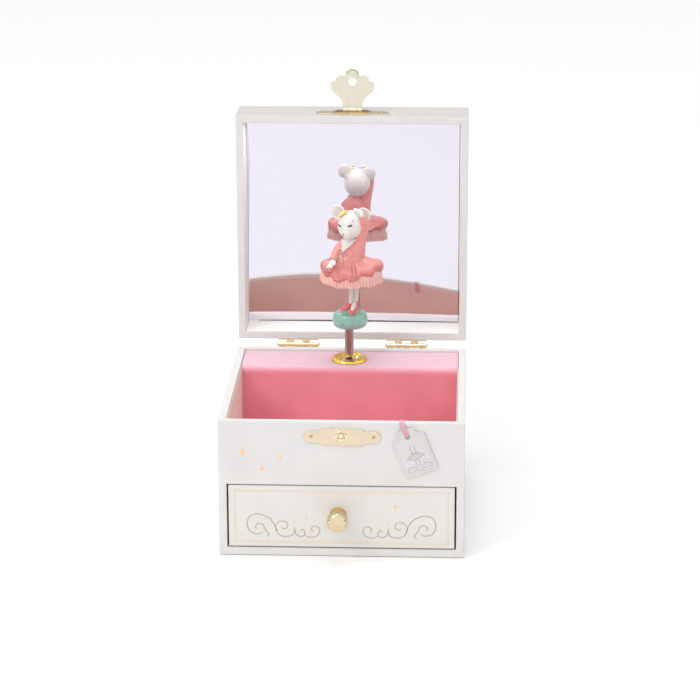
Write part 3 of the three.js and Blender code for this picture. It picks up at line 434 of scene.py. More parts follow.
# The tag card's greyer rounded edges are painted shade.
CARD = paper("tag_card", (0.69, 0.665, 0.655), 0.55, (0.6, 0.58, 0.58))
RIBBON = satin("ribbon_satin", (0.66, 0.36, 0.42), 0.5, 0.4, 3500)

# ------------------------------------------------------------------ mesh helpers


def piece(name, bm, material, body, replaces=(), slot=None, sharp=38):
    """Turns a bmesh in millimetres into a smooth-shaded piece that rides on a body."""
    bmesh.ops.recalc_face_normals(bm, faces=bm.faces)
    mesh = bpy.data.meshes.new(name)
    bm.to_mesh(mesh)
    bm.free()
    mesh.transform(Matrix.Scale(MM, 4))
    mesh.polygons.foreach_set("use_smooth", [True] * len(mesh.polygons))
    mesh.set_sharp_from_angle(angle=math.radians(sharp))
    mesh.materials.append(material)
    obj = bpy.data.objects.new(name, mesh)
    bpy.context.scene.collection.objects.link(obj)
    flat = obj.modifiers.new("flat_faces", "WEIGHTED_NORMAL")
    flat.keep_sharp = True
    flat.weight = 100
    if body:
        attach(obj, body)
    if replaces:
        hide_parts(*replaces)
    return obj


def turned(name, material, body, profile, start, axis, centre, sides, *details, smooth=0):
    """A turned piece from [radius, height] points, its heights counted from start along the axis."""
    bm = bmesh.new()
    lathe(bm, [(r, start + h) for r, h in profile], axis, centre, sides, smooth)
    return piece(name, bm, material, body, *details)


def cast_piece(name, bm, material, sharp=70):
    """A piece of the painted figure, which rides on the dancer."""
    return piece(name, bm, material, "dancer", (), "painted_resin", sharp)


def add_cube(bm, low, high):
    for vert in bmesh.ops.create_cube(bm, size=1)["verts"]:
        vert.co = Vector(low[i] + (vert.co[i] + 0.5) * (high[i] - low[i]) for i in range(3))


def bevel_edge_shaded(bm, edges, radius, segments, clamp=False):
    """Rounds edges and marks the new faces for the painted edge shade."""
    edge_shade = bm.faces.layers.float.get("edge_shade") or bm.faces.layers.float.new("edge_shade")
    made = bmesh.ops.bevel(bm, geom=edges, offset=radius, segments=segments, profile=0.5,
                           affect="EDGES", clamp_overlap=clamp)
    for face in made["faces"]:
        face[edge_shade] = 1


def sharp_edges(bm, angle):
    return [e for e in bm.edges if e.calc_face_angle(0) > math.radians(angle)]


def round_edges(bm, radius, segments=3, angle=50):
    """Rounds every sharp edge."""
    bevel_edge_shaded(bm, sharp_edges(bm, angle), radius, segments, True)


def rounded_box(low, high, radius=0.4, segments=3):
    bm = bmesh.new()
    add_cube(bm, low, high)
    round_edges(bm, radius, segments)
    return bm


def carved(solids, hollows):
    """Boxes joined and hollowed by exact booleans, as a bmesh."""
    def temporary(low, high):
        bm = bmesh.new()
        add_cube(bm, low, high)
        mesh = bpy.data.meshes.new("temporary")
        bm.to_mesh(mesh)
        bm.free()
        obj = bpy.data.objects.new("temporary", mesh)
        bpy.context.scene.collection.objects.link(obj)
        return obj

    whole = temporary(*solids[0])
    tools = []
    for kind, boxes in (("UNION", solids[1:]), ("DIFFERENCE", hollows)):
        for low, high in boxes:
            tool = temporary(low, high)
            tools.append(tool)
            step = whole.modifiers.new("cut", "BOOLEAN")
            step.operation = kind
            step.object = tool
            step.solver = "EXACT"
    graph = bpy.context.evaluated_depsgraph_get()
    result = bpy.data.meshes.new_from_object(whole.evaluated_get(graph))
    bm = bmesh.new()
    bm.from_mesh(result)
    for obj in [whole, *tools]:
        bpy.data.objects.remove(obj)
    bmesh.ops.remove_doubles(bm, verts=bm.verts, dist=1e-4)
    bmesh.ops.dissolve_limit(bm, angle_limit=math.radians(1), verts=bm.verts, edges=bm.edges)
    return bm


def smooth_line(points, steps=6, closed=False):
    """A Catmull-Rom curve through the points."""
    points = [Vector(p) for p in points]
    count = len(points)
    spans = count if closed else count - 1
    line = []
    for i in range(spans):
        if closed:
            a, b, c, d = (points[(i + k) % count] for k in (-1, 0, 1, 2))
        else:
            b, c = points[i], points[i + 1]
            a = points[i - 1] if i else b * 2 - c
            d = points[i + 2] if i + 2 < count else c * 2 - b
        for k in range(steps):
            t = k / steps
            line.append(0.5 * (2 * b + (c - a) * t + (2 * a - 5 * b + 4 * c - d) * t * t
                               + (3 * b - a - 3 * c + d) * t ** 3))
    if not closed:
        line.append(points[-1])
    return line


def skin(bm, rings, closed=False):
    """Faces between rings of the same length. The ends are capped by fans unless they meet."""
    made = [[bm.verts.new(p) for p in ring] for ring in rings]
    count = len(made[0])
    pairs = list(zip(made, made[1:]))
    if closed:
        pairs.append((made[-1], made[0]))
    for one, other in pairs:
        for i in range(count):
            j = (i + 1) % count
            bm.faces.new((one[i], one[j], other[j], other[i]))
    if not closed:
        for ring in (made[0], made[-1]):
            centre = bm.verts.new(sum((v.co for v in ring), Vector()) / count)
            for i in range(count):
                bm.faces.new((ring[i], ring[(i + 1) % count], centre))


def lathe(bm, profile, axis="Z", centre=(0, 0, 0), sides=64, smooth=0):
    """A turned body from [radius, height] points; ends at radius 0 are closed to a point."""
    if smooth:
        profile = [(max(0, p.x), p.y) for p in smooth_line([(r, h, 0) for r, h in profile], smooth)]
    turns = {"Z": Matrix.Identity(3), "Y": Matrix.Rotation(-math.pi / 2, 3, "X"),
             "X": Matrix.Rotation(math.pi / 2, 3, "Y")}
    turn = turns[axis]
    rings = []
    for r, h in profile:
        r = max(r, 0.001)
        ring = [Vector((r * math.cos(a), r * math.sin(a), h))
                for a in (2 * math.pi * i / sides for i in range(sides))]
        rings.append([turn @ p + Vector(centre) for p in ring])
    first = profile[0]
    last = profile[-1]
    closed = abs(first[0] - last[0]) < 1e-6 and abs(first[1] - last[1]) < 1e-6
    skin(bm, rings[:-1] if closed else rings, closed)


def tube(bm, path, radius, sides=12, flat=1.0, closed=False, up=None):
    """A tube along a path. radius is a number or one per point; flat squeezes it along the normal."""
    count = len(path)
    radii = radius if hasattr(radius, "__len__") else [radius] * count
    rings = []
    side = None
    for i, p in enumerate(path):
        ahead = path[(i + 1) % count] if closed or i + 1 < count else path[i]
        behind = path[i - 1] if closed or i else path[i]
        along = (Vector(ahead) - Vector(behind)).normalized()
        if side is None:
            hint = Vector(up) if up else (Vector((0, 0, 1)) if abs(along.z) < 0.9 else Vector((1, 0, 0)))
            side = along.cross(hint).normalized()
        side = (side - along * side.dot(along)).normalized()
        lift = along.cross(side)
        ring = []
        for k in range(sides):
            angle = 2 * math.pi * k / sides
            across = side * math.cos(angle) * radii[i]
            ring.append(Vector(p) + across + lift * math.sin(angle) * radii[i] * flat)
        rings.append(ring)
    skin(bm, rings, closed)


def extruded(bm, outline, move):
    """A flat outline of points made into a plate; gives the vertices of the far side."""
    made = bmesh.ops.extrude_face_region(bm, geom=[bm.faces.new([bm.verts.new(p) for p in outline])])
    moved = [v for v in made["geom"] if isinstance(v, bmesh.types.BMVert)]
    bmesh.ops.translate(bm, verts=moved, vec=move)
    return moved


def edges_of(bm, verts):
    return [e for e in bm.edges if all(v in verts for v in e.verts)]


def slab(bm, outline, y, thick, bevel=0.0, segments=2):
    """A flat outline in the XZ plane made into a plate from y towards the front."""
    moved = extruded(bm, [(x, y, z) for x, z in outline], (0, -thick, 0))
    if bevel:
        bevel_edge_shaded(bm, edges_of(bm, moved), bevel, segments)


def raised_plate(bm, outline, z, thick, bevel=0.0, segments=2, profile=0.5):
    """A flat outline in the XY plane made into a plate from z upwards."""
    moved = extruded(bm, [(x, y, z) for x, y in outline], (0, 0, thick))
    if bevel:
        bmesh.ops.bevel(bm, geom=edges_of(bm, moved), offset=bevel, segments=segments,
                        profile=profile, affect="EDGES")


def circle(x, z, r, count):
    angles = [2 * math.pi * k / count for k in range(count)]
    return [(x + r * math.cos(a), z + r * math.sin(a)) for a in angles]


def pierced_plate(bm, lines, places):
    """A flat plate with a hole. lines are its outline and its hole, places put a point on either face."""
    sides = [[[bm.verts.new(place(*p)) for p in line] for line in lines] for place in places]
    for loops in sides:
        edges = []
        for loop in loops:
            edges += [bm.edges.new((vert, loop[(i + 1) % len(loop)])) for i, vert in enumerate(loop)]
        bmesh.ops.triangle_fill(bm, edges=edges, use_beauty=True)
    for near, far in zip(*sides):
        for i in range(len(near)):
            j = (i + 1) % len(near)
            bm.faces.new((near[i], near[j], far[j], far[i]))
    bmesh.ops.recalc_face_normals(bm, faces=bm.faces)


def knuckle(bm, pivot, a, b, bore, chamfer, outer, sides):
    """A short tube round a hinge pin, from a to b along X."""
    ends = [(bore, a), (chamfer, a), (outer, a + 0.1), (outer, b - 0.1), (chamfer, b), (bore, b), (bore, a)]
    lathe(bm, ends, "X", (0, pivot[1], pivot[2]), sides)


def ellipsoid(bm, centre, halves, across, down):
    for vert in bmesh.ops.create_uvsphere(bm, u_segments=across, v_segments=down, radius=1)["verts"]:
        vert.co = Vector(vert.co[i] * halves[i] for i in range(3)) + Vector(centre)


# ------------------------------------------------------------------ case


def build_case():
    inner = CASE_HIGH[0] - WALL
    front, back = FRONT + WALL, BACK - WALL
    partition = (PARTITION[0][1], PARTITION[1][1])
    hollows = [
        ((-inner, front, TRAY_TOP), (inner, back, RIM + 5)),
        ((-inner, FRONT - 5, BAY_FLOOR), (inner, partition[0], BAY_TOP)),
        ((-inner, partition[1], BAY_FLOOR), (inner, back, TRAY_TOP + 1)),
    ]
    bm = carved([(CASE_LOW, CASE_HIGH)], hollows)
    round_edges(bm, 0.45)
    piece("case_shell", bm, WHITE_PAPER, "case",
          ("left_side_panel", "right_side_panel", "base_panel", "front_panel", "back_panel", "tray_floor"),
          "white_paper")
    lining()
    platform()
    low, high = corners("winding_arbor")
    eyelet = [(3.4, -0.5), (3.4, 0.35), (4.2, 0.5), (5.1, 0.3), (5.3, 0.02), (3.4, -0.5)]
    centre = ((low[0] + high[0]) / 2, 0, (low[2] + high[2]) / 2)
    turned("key_eyelet", BRASS, "case", eyelet, BACK, "Y", centre, 64, (), "brass")


def lining():
    """Satin over card: dusty walls and back, and a deep pink floor that meets the drape."""
    low, high = corners("tray_lining")
    thick = 0.5
    top = RIM - 1.2
    hollow = ((low[0] + thick, low[1] + thick, low[2] - 5), (high[0] - thick, high[1] + 5, top + 5))
    bm = carved([((low[0], low[1], low[2] + thick + 0.02), (high[0], high[1], top))], [hollow])
    round_edges(bm, 0.2, 2)
    piece("satin_wall_lining", bm, DUSTY_SATIN, "case", ("tray_lining",), "pink_satin")
    floor = rounded_box(low, (high[0], high[1], low[2] + thick), 0.15, 2)
    piece("satin_tray_floor", floor, PINK_SATIN, "case", (), "pink_satin")


def platform():
    """The padded shelf over the movement: satin drawn over its rounded front and down the partition."""
    low, high = PLATFORM
    half = (high[0] - low[0]) / 2 - 0.15
    front, back = low[1] - 0.45, high[1] - 0.1
    foot = corners("tray_lining")[0][2] + 0.55
    radius = 3.4
    profile = [(front, foot + (high[2] - radius - foot) * k / 24) for k in range(24)]
    for k in range(13):
        angle = math.pi - k * math.pi / 24
        profile.append((front + radius + radius * math.cos(angle),
                        high[2] - radius + radius * math.sin(angle)))
    count = 26
    for k in range(1, count + 1):
        profile.append((front + radius + (back - front - radius) * k / count, high[2]))
    steps = 90
    bm = bmesh.new()
    rings = []
    for i in range(steps + 1):
        x = -half + 2 * half * i / steps
        ends = min(1, (half - abs(x)) / 2.5)
        ring = []
        for y, z in profile:
            away = math.hypot(x - SPINDLE[0], y - SPINDLE[1])
            dimple = -0.12 * math.exp(-((away - 9) / 4) ** 2)
            ripple = 0.06 * math.sin(x * 0.55 + y * 0.3) * math.sin(y * 0.4 + 1)
            pull = 0.1 * math.sin(x * 0.23 + z * 0.31) * math.sin(x * 0.09 - z * 0.12) * ends
            lift = dimple + ripple if y > front + 1 else 0
            push = pull if z < high[2] - radius and y < front + 1 else 0
            ring.append(Vector((x, y + push, z + lift)))
        ring += [Vector((x, back, low[2] - 0.2)), Vector((x, PARTITION[1][1], low[2] - 0.2)),
                 Vector((x, PARTITION[1][1], foot))]
        rings.append(ring)
    skin(bm, rings)
    # The drape's pale top is painted sheen from the shelf satin.
    piece("platform_drape", bm, SHELF_SATIN, "case", ("platform", "partition"), "blush_cover", 60)


def star(x, z, height, width):
    """A four-pointed star as an outline."""
    waist = 0.24
    points = []
    for k in range(8):
        angle = math.pi / 2 + k * math.pi / 4
        reach = waist if k % 2 else 1
        points.append((x + math.cos(angle) * reach * width / 2, z + math.sin(angle) * reach * height / 2))
    return points


def printed(name, outlines, y, material, body):
    """Flat printed shapes, a hair's breadth proud of the face at y."""
    bm = bmesh.new()
    for outline in outlines:
        slab(bm, outline, y + 0.01, PRINT_THICK + 0.01)
    return piece(name, bm, material, body)


def build_stars():
    stars = [(-47.8, 53.5, 7.4, 5.6), (-38.6, 45.1, 5.6, 4.6), (-29.5, 50.9, 3.7, 3.2)]
    printed("front_stars", [star(*s) for s in stars], FRONT, STAR_FOIL, "case")


# ------------------------------------------------------------------ drawer


def stroke(bm, points, width, y, steps=7, taper=0.35):
    """A printed line through (x, z) points that thins towards its ends."""
    line = smooth_line([(x, 0, z) for x, z in points], steps)
    count = len(line)
    left, right = [], []
    for i, p in enumerate(line):
        along = (line[min(i + 1, count - 1)] - line[max(i - 1, 0)]).normalized()
        side = Vector((-along.z, 0, along.x))
        end = min(1, min(i, count - 1 - i) / (0.16 * count))
        half = width / 2 * (taper + (1 - taper) * end)
        left.append(p + side * half)
        right.append(p - side * half)
    rings = []
    for a, b in zip(left, right):
        rings.append([Vector((a.x, y + 0.01, a.z)), Vector((b.x, y + 0.01, b.z)),
                      Vector((b.x, y - PRINT_THICK, b.z)), Vector((a.x, y - PRINT_THICK, a.z))])
    skin(bm, rings)


def scroll_lines():
    """One flourish of curls, left of the knob."""
    big = [(-31.6, 12.4), (-32.6, 15.6), (-35.2, 19.4), (-40.4, 21.6), (-44.9, 20.2), (-46.2, 16.5),
           (-45.0, 12.7), (-41.9, 11.2), (-39.6, 11.5), (-38.4, 12.6)]
    inner = [(-37.2, 9.8), (-36.0, 10.2), (-35.7, 11.3), (-36.8, 12.6), (-37.7, 14.2), (-38.4, 16.0),
             (-40.1, 16.6), (-41.7, 15.9), (-42.1, 14.4), (-41.2, 13.5)]
    middle = [(-32.5, 15.2), (-30.9, 17.4), (-29.0, 18.1), (-26.9, 17.5), (-26.3, 15.8), (-27.2, 14.3),
              (-28.6, 14.1), (-29.2, 15.1)]
    low = [(-32.5, 15.2), (-31.4, 12.0), (-29.6, 10.4), (-27.2, 9.9), (-24.6, 10.5), (-23.2, 12.0),
           (-22.9, 13.8), (-23.3, 15.3)]
    small = [(-22.9, 13.8), (-22.3, 11.4), (-20.4, 10.1), (-18.5, 10.6), (-17.9, 12.2), (-18.6, 13.5),
             (-19.8, 13.5), (-20.0, 12.6)]
    last = [(-18.2, 11.2), (-16.6, 10.0), (-14.2, 9.8), (-11.8, 10.7), (-10.6, 12.9), (-11.3, 15.0),
            (-13.0, 15.6), (-14.6, 14.8), (-14.5, 13.1), (-13.4, 12.8)]
    return [big, inner, middle, low, small, last]


def build_drawer():
    low, high = DRAWER_LOW, DRAWER_HIGH
    face = low[1]
    wider = 0.3
    bm = rounded_box((low[0] - wider, face, low[2]), (high[0] + wider, high[1], high[2] + 0.1), 0.5)
    piece("drawer_face", bm, DRAWER_PAPER, "drawer", ("drawer_front",), "drawer_paper")
    left, right = corners("drawer_left_side"), corners("drawer_right_side")
    back = corners("drawer_back")
    bottom = corners("drawer_bottom")
    outer = ((left[0][0], left[0][1], bottom[0][2]), (right[1][0], back[1][1], left[1][2]))
    hollow = ((left[1][0], left[0][1] - 5, bottom[1][2]), (right[0][0], back[0][1], left[1][2] + 5))
    bm = carved([outer], [hollow])
    round_edges(bm, 0.35, 2)
    piece("drawer_box", bm, DRAWER_PAPER, "drawer",
          ("drawer_left_side", "drawer_right_side", "drawer_back", "drawer_bottom"), "drawer_paper")
    low, high = corners("drawer_lining")
    thick = 0.5
    hollow = ([c + thick for c in low], (high[0] - thick, high[1] - thick, high[2] + 5))
    bm = carved([(low, high)], [hollow])
    round_edges(bm, 0.2, 2)
    piece("satin_drawer_lining", bm, PINK_SATIN, "drawer", ("drawer_lining",), "pink_satin")
    build_drawer_print(face)
    build_knob()


def build_drawer_print(face):
    """A double frame line, a flourish of curls on either side and scattered stars."""
    bm = bmesh.new()
    for inset, width in ((2.7, 0.34), (3.5, 0.16)):
        x = DRAWER_HIGH[0] - inset
        low, high = DRAWER_LOW[2] + inset - 0.5, DRAWER_HIGH[2] - inset + 0.4
        grow = width / 2
        for start, end in (((-x, low), (x, low)), ((-x, high), (x, high)), ((-x, low), (-x, high)),
                           ((x, low), (x, high))):
            left, right = start[0] - grow, end[0] + grow
            under, over = start[1] - grow, end[1] + grow
            outline = [(left, under), (right, under), (right, over), (left, over)]
            slab(bm, outline, face + 0.01, PRINT_THICK + 0.01)
    piece("drawer_frame_line", bm, FRAME_INK, "drawer")
    bm = bmesh.new()
    centre = (DRAWER_LOW[0] + DRAWER_HIGH[0]) / 2
    for line in scroll_lines():
        stroke(bm, line, 0.58, face)
        stroke(bm, [(2 * centre - x, z) for x, z in line], 0.58, face)
    piece("drawer_scrolls", bm, MAUVE_INK, "drawer")
    printed("drawer_star", [star(26.3, 26.0, 4.6, 3.8)], face, ORANGE_FOIL, "drawer")
    small = [(-48.9, 11.5, 1.7, 1.5), (-23.0, 17.8, 1.8, 1.6), (-17.2, 19.9, 2.3, 1.9),
             (22.8, 17.4, 1.9, 1.7)]
    printed("drawer_small_stars", [star(*s) for s in small], face, MINT_INK, "drawer")


def build_knob():
    """The knob stands a little above the CAD knob's centre and is a little fuller, as in the photo."""
    above, fuller = 1.2, 1.03
    low, high = corners("drawer_knob")
    tip = low[1]
    reach = high[1] - tip
    r = (high[0] - low[0]) / 2 * fuller
    place = ((low[0] + high[0]) / 2, 0, (low[2] + high[2]) / 2 + above)
    cap = [(0, 0), (0.7, 0.04), (0.77, 0.2), (0.93, 1.0), (1, 2.2), (0.98, 3.5), (0.94, 4.3), (0, 4.3)]
    neck = [(0, 4.1), (0.92, 4.1), (0.86, 5.3), (0.72, 7.0), (0.63, 8.4), (0.66, 9.5), (0.75, 10.6),
            (0.79, 11.4), (0.79, reach), (0, reach)]
    # The neck's darker, warmer gold is painted reflection.
    for name, profile, material, replaces in (("turned_knob", cap, KNOB_GOLD, ("drawer_knob",)),
                                              ("knob_neck", neck, KNOB_BACK_REFLECTION_GOLD, ())):
        profile = [(r * a, h) for a, h in profile]
        turned(name, material, "drawer", profile, tip, "Y", place, 72, replaces, "gold", 60, smooth=5)
    screw = [(0, -10), (1.25, -10), (1.25, -1.9), (3, -1.85), (2.9, -0.9), (1.8, -0.2), (0, 0)]
    head = corners("knob_screw")[1][1]
    turned("round_head_screw", STEEL, "drawer", screw, head, "Y", place, 40, ("knob_screw",), "steel")


# ------------------------------------------------------------------ lid


def build_lid():
    low, high = LID_LOW, LID_HIGH
    face = MIRROR[0][1]
    hollow = ((low[0] + LID_WALL, low[1] - 5, low[2] + LID_WALL),
              (high[0] - LID_WALL, face + 1.5, high[2] - LID_WALL))
    bm = carved([(low, high)], [hollow])
    round_edges(bm, 0.45)
    rails = [f"lid_{side}_rail" for side in ("left", "right", "front", "back")]
    piece("lid_shell", bm, LID_PAPER, "lid", ("lid_top_panel", *rails), "white_paper")
    # A strip of brighter paper on the bottom rail's top: painted light thrown down by the mirror.
    strip = rounded_box((low[0] + LID_WALL + 0.1, low[1] + 0.5, low[2] + LID_WALL - 0.05),
                        (high[0] - LID_WALL - 0.1, face - 0.55, low[2] + LID_WALL + 0.16), 0.07, 2)
    piece("lid_rail_painted_light", strip, RAIL_LIGHT_PAPER, "lid", (), "white_paper")
    build_mirror(face)
    marks = bmesh.new()
    for x, y, size in ((29, 73.5, 2.6), (34.5, 77.5, 1.6), (44, 75, 2.0), (-38, 76, 2.2)):
        raised_plate(marks, star(x, y, size, size * 0.8), high[2] - 0.01, PRINT_THICK + 0.01)
    piece("lid_edge_stars", marks, MINT_INK, "lid")


def mirror_depth(x, up):
    """How deep the mirror sheet sits, x from -1 to 1 across it and up in millimetres from its foot."""
    bend, top = 24, 86
    inside = min(up, top)
    bowl = 0.0275 * inside - 0.000405 * max(0, inside - bend) ** 2 - 0.0227 * max(0, up - top)
    curl = 0.5 + 0.5 * math.cos(math.pi * min(1, up / 50))
    fading = 0.5 + 0.5 * math.cos(math.pi * max(0, min(1, (up - 35) / 60)))
    left_curl = 0.95 * max(0, -x - 0.35) ** 2 * fading
    return bowl - 0.6 * x ** 2 * (0.1 + curl) - left_curl + 0.36 * x * min(1, up / 30) - 0.3


def build_mirror(face):
    """A thin mirror sheet, glued along its edges: bowed in the middle and curled at its low corners."""
    low, high = MIRROR
    cells = 84
    half = (high[0] - low[0]) / 2
    bm = bmesh.new()
    grid = []
    for j in range(cells + 1):
        z = low[2] + (high[2] - low[2]) * j / cells
        row = []
        for i in range(cells + 1):
            x = low[0] + (high[0] - low[0]) * i / cells
            row.append(bm.verts.new((x, face + mirror_depth(x / half, z - low[2]), z)))
        grid.append(row)
    for j in range(cells):
        for i in range(cells):
            bm.faces.new((grid[j][i], grid[j][i + 1], grid[j + 1][i + 1], grid[j + 1][i]))
    made = bmesh.ops.extrude_edge_only(bm, edges=[e for e in bm.edges if e.is_boundary])["geom"]
    for vert in made:
        if isinstance(vert, bmesh.types.BMVert):
            vert.co.y = face + 1.45
    bmesh.ops.edgeloop_fill(bm, edges=[e for e in bm.edges if e.is_boundary])
    # Painted shadow: dark strips along the mirror's foot and right edge, for the shaded gap beside the glass
    # and its dark edge.
    foot = LID_LOW[2] + LID_WALL
    shadow_strip = rounded_box((low[0] + 0.3, face - 1.15, foot + 0.1),
                       (high[0] - 0.3, face - 0.55, foot + 0.5), 0.1, 2)
    piece("mirror_foot_shadow", shadow_strip, GAP_SHADOW_DARK, "lid")
    shadow_strip = rounded_box((high[0] - 0.62, face - 0.95, low[2] + 0.6),
                       (high[0] - 0.3, face - 0.5, high[2] - 0.6), 0.08, 2)
    piece("mirror_side_shadow", shadow_strip, GAP_SHADOW_DARK, "lid")
    piece("mirror_sheet", bm, SILVERED, "lid", ("mirror",), "silvered_glass")


# ------------------------------------------------------------------ hinges


def hinge_leaf(kind, side, pivot):
    """One leaf with its knuckles and three screw heads: upright on the case or flat under the lid."""
    on_case = kind == "case"
    node = f"hinge_{kind}_leaf_{side}"
    low, high = corners(node)
    (left, _, _), (right, _, _) = corners(f"hinge_case_leaf_{side}")
    bm = bmesh.new()
    if on_case:
        add_cube(bm, (left, BACK + 0.04, low[2]), (right, BACK + 0.75, pivot[2] - 0.9))
    else:
        add_cube(bm, (left, pivot[1] + 0.8, LID_LOW[2] - 0.75), (right, high[1], LID_LOW[2] - 0.04))
    round_edges(bm, 0.2, 2)
    pitch = (right - left) / 5
    for k in ((0, 2, 4) if on_case else (1, 3)):
        a, b = left + k * pitch + 0.12, left + (k + 1) * pitch - 0.12
        knuckle(bm, pivot, a, b, 0.8, 1.12, 1.22, 40)
        if on_case:
            add_cube(bm, (a, BACK + 0.1, pivot[2] - 1.55), (b, pivot[1], pivot[2] - 0.85))
        else:
            add_cube(bm, (a, pivot[1] + 0.85, pivot[2]), (b, pivot[1] + 1.5, LID_LOW[2] - 0.1))
    head = [(0, 0), (1.2, 0), (1.1, 0.3), (0.6, 0.5), (0, 0.55)]
    for x in (left + 3.4, right - 3.4, (left + right) / 2):
        if on_case:
            lathe(bm, [(r, BACK + 0.7 + h) for r, h in head], "Y", (x, 0, low[2] + 3.5), 24)
        else:
            lathe(bm, [(r, LID_LOW[2] - 0.7 - h) for r, h in head], "Z", (x, high[1] - 3.5, 0), 24)
    piece(f"{kind}_hinge_leaf_{side}", bm, HINGE_GOLD, kind, (node,), "gold")


def build_hinges():
    pivot = joint_place("lid_hinge")
    for side in ("left", "right"):
        hinge_leaf("case", side, pivot)
        hinge_leaf("lid", side, pivot)
        node = f"hinge_pin_{side}"
        (a, _, _), (b, _, _) = corners(node)
        head = [(0, 0), (0.6, 0.12), (0.95, 0.45), (1.1, 0.85), (0.62, 0.9)]
        rivet = head + [(r, b - a - h) for r, h in reversed(head)]
        centre = (0, pivot[1], pivot[2])
        turned(f"hinge_rivet_{side}", HINGE_GOLD, "case", rivet, a, "X", centre, 32, (node,), "gold")


# ------------------------------------------------------------------ hasp and strike

HASP_SLEEVE = (0.6, 1.0, 1.12, 32)
HASP_TIP = 20.8


def plate_outline(half=18.8, mid=9.55, end=3.1, high=4.65):
    """A long plate with round ends and a deeper middle, about its own centre."""
    right = []
    for k in range(13):
        angle = -math.pi / 2 + k * math.pi / 12
        right.append((half - end + end * math.cos(angle), end * math.sin(angle)))
    for t in (0.25, 0.5, 0.75, 1):
        right.append((mid + 2.6 * (1 - t), end + (high - end) * t ** 2))
    shoulder = [(x, z) for x, z in right if z > end]
    left = [(-x, z) for x, z in reversed(right)]
    return right + left + [(-x, -z) for x, z in shoulder] + [(x, -z) for x, z in reversed(shoulder)]


def nail_head(bm, x, y, z, axis="Y", r=1.3):
    """A domed head towards the front, or upwards where the axis is Z."""
    profile = [(0, 0), (r, 0), (r * 0.96, r * 0.22), (r * 0.7, r * 0.55), (r * 0.35, r * 0.72), (0, r * 0.78)]
    if axis == "Y":
        lathe(bm, [(a, y - h) for a, h in profile], "Y", (x, 0, z), 28, 2)
    else:
        lathe(bm, [(a, z + h) for a, h in profile], "Z", (x, y, 0), 28, 2)


def build_strike():
    low, high = corners("strike_plate")
    z = (low[2] + high[2]) / 2
    aside, under = 0.6, 0.35
    bm = bmesh.new()
    slab(bm, [(x + aside, z - under + dz) for x, dz in plate_outline(high=4.3)], FRONT - 0.03, 0.62, 0.22, 3)
    piece("strike_escutcheon", bm, STRIKE_GOLD, "case", ("strike_plate",), "pale_gold")
    stud = [(0, 0), (2.8, 0), (2.85, -0.2), (2.4, -0.42), (1.5, -0.6), (1.15, -1.0), (1.2, -1.4),
            (1.75, -1.9), (1.97, -2.5), (1.95, -3.1), (1.6, -3.8), (0.9, -4.25), (0, -4.4)]
    turned("strike_stud", HINGE_GOLD, "case", stud, FRONT - 0.6, "Y", (0.1, 0, z), 48, (), "pale_gold", 60,
           smooth=3)
    for side in ("left", "right"):
        low, high = corners(f"strike_nail_{side}")
        bm = bmesh.new()
        nail_head(bm, (low[0] + high[0]) / 2 + aside, FRONT - 0.62, z, r=0.8)
        piece(f"strike_tack_{side}", bm, TACK_GOLD, "case", (f"strike_nail_{side}",), "pale_gold", 60)


def build_hasp():
    pivot = joint_place("hasp_hinge")
    top = LID_HIGH[2]
    boss = bmesh.new()
    outline = [(x, pivot[1] + dy) for x, dy in plate_outline(9.6, 6.6, 3.0, 4.3)]
    raised_plate(boss, outline, top + 0.5, 0.75, 0.45, 4, 0.6)
    piece("hasp_boss", boss, BOSS_GOLD, "lid", (), "pale_gold")
    bm = bmesh.new()
    raised_plate(bm, [(x, pivot[1] + dy) for x, dy in plate_outline()], top + 0.03, 0.6, 0.2)
    for a, b in ((-4.85, -2.4), (2.4, 4.85)):
        knuckle(bm, pivot, a, b, *HASP_SLEEVE)
        add_cube(bm, (a, pivot[1] - 0.6, top + 0.4), (b, pivot[1] + 0.6, pivot[2] - 0.5))
    piece("hasp_base_plate", bm, HASP_GOLD, "lid", ("hasp_base",), "pale_gold")
    for side in ("left", "right"):
        low, high = corners(f"hasp_nail_{side}")
        bm = bmesh.new()
        nail_head(bm, (low[0] + high[0]) / 2, (low[1] + high[1]) / 2, top + 0.6, "Z", 1.0)
        piece(f"hasp_tack_{side}", bm, TACK_GOLD, "lid", (f"hasp_nail_{side}",), "pale_gold", 60)
    axle = [(0, -5.15), (0.35, -5.1), (0.5, -4.95), (0.5, 4.95), (0.35, 5.1), (0, 5.15)]
    centre = (0, pivot[1], pivot[2])
    turned("hasp_axle", GOLD, "lid", axle, 0, "X", centre, 24, ("hasp_pin",), "pale_gold")
    build_hasp_plate(pivot)


def hasp_half():
    """Right-hand outline of the shell-shaped plate: half-width and height above the pin."""
    curves = [
        [(5.1, 1.7), (5.15, 2.9), (5.4, 4.3), (6.4, 6.2), (8.3, 7.9), (10.0, 9.3), (11.0, 10.9),
         (11.25, 12.5), (10.8, 14.1), (9.7, 14.9), (8.6, 15.1)],
        [(8.6, 15.1), (8.3, 16.4), (7.3, 17.5), (6.0, 18.0), (3.6, 17.9)],
        [(3.6, 17.9), (3.0, 18.1), (2.8, 18.9), (2.2, 19.9), (1.2, 20.6), (0.0, HASP_TIP)],
    ]
    points = []
    for curve in curves:
        points += [(p.x, p.y) for p in smooth_line([(x, up, 0) for x, up in curve], 4)[:-1]]
    return points


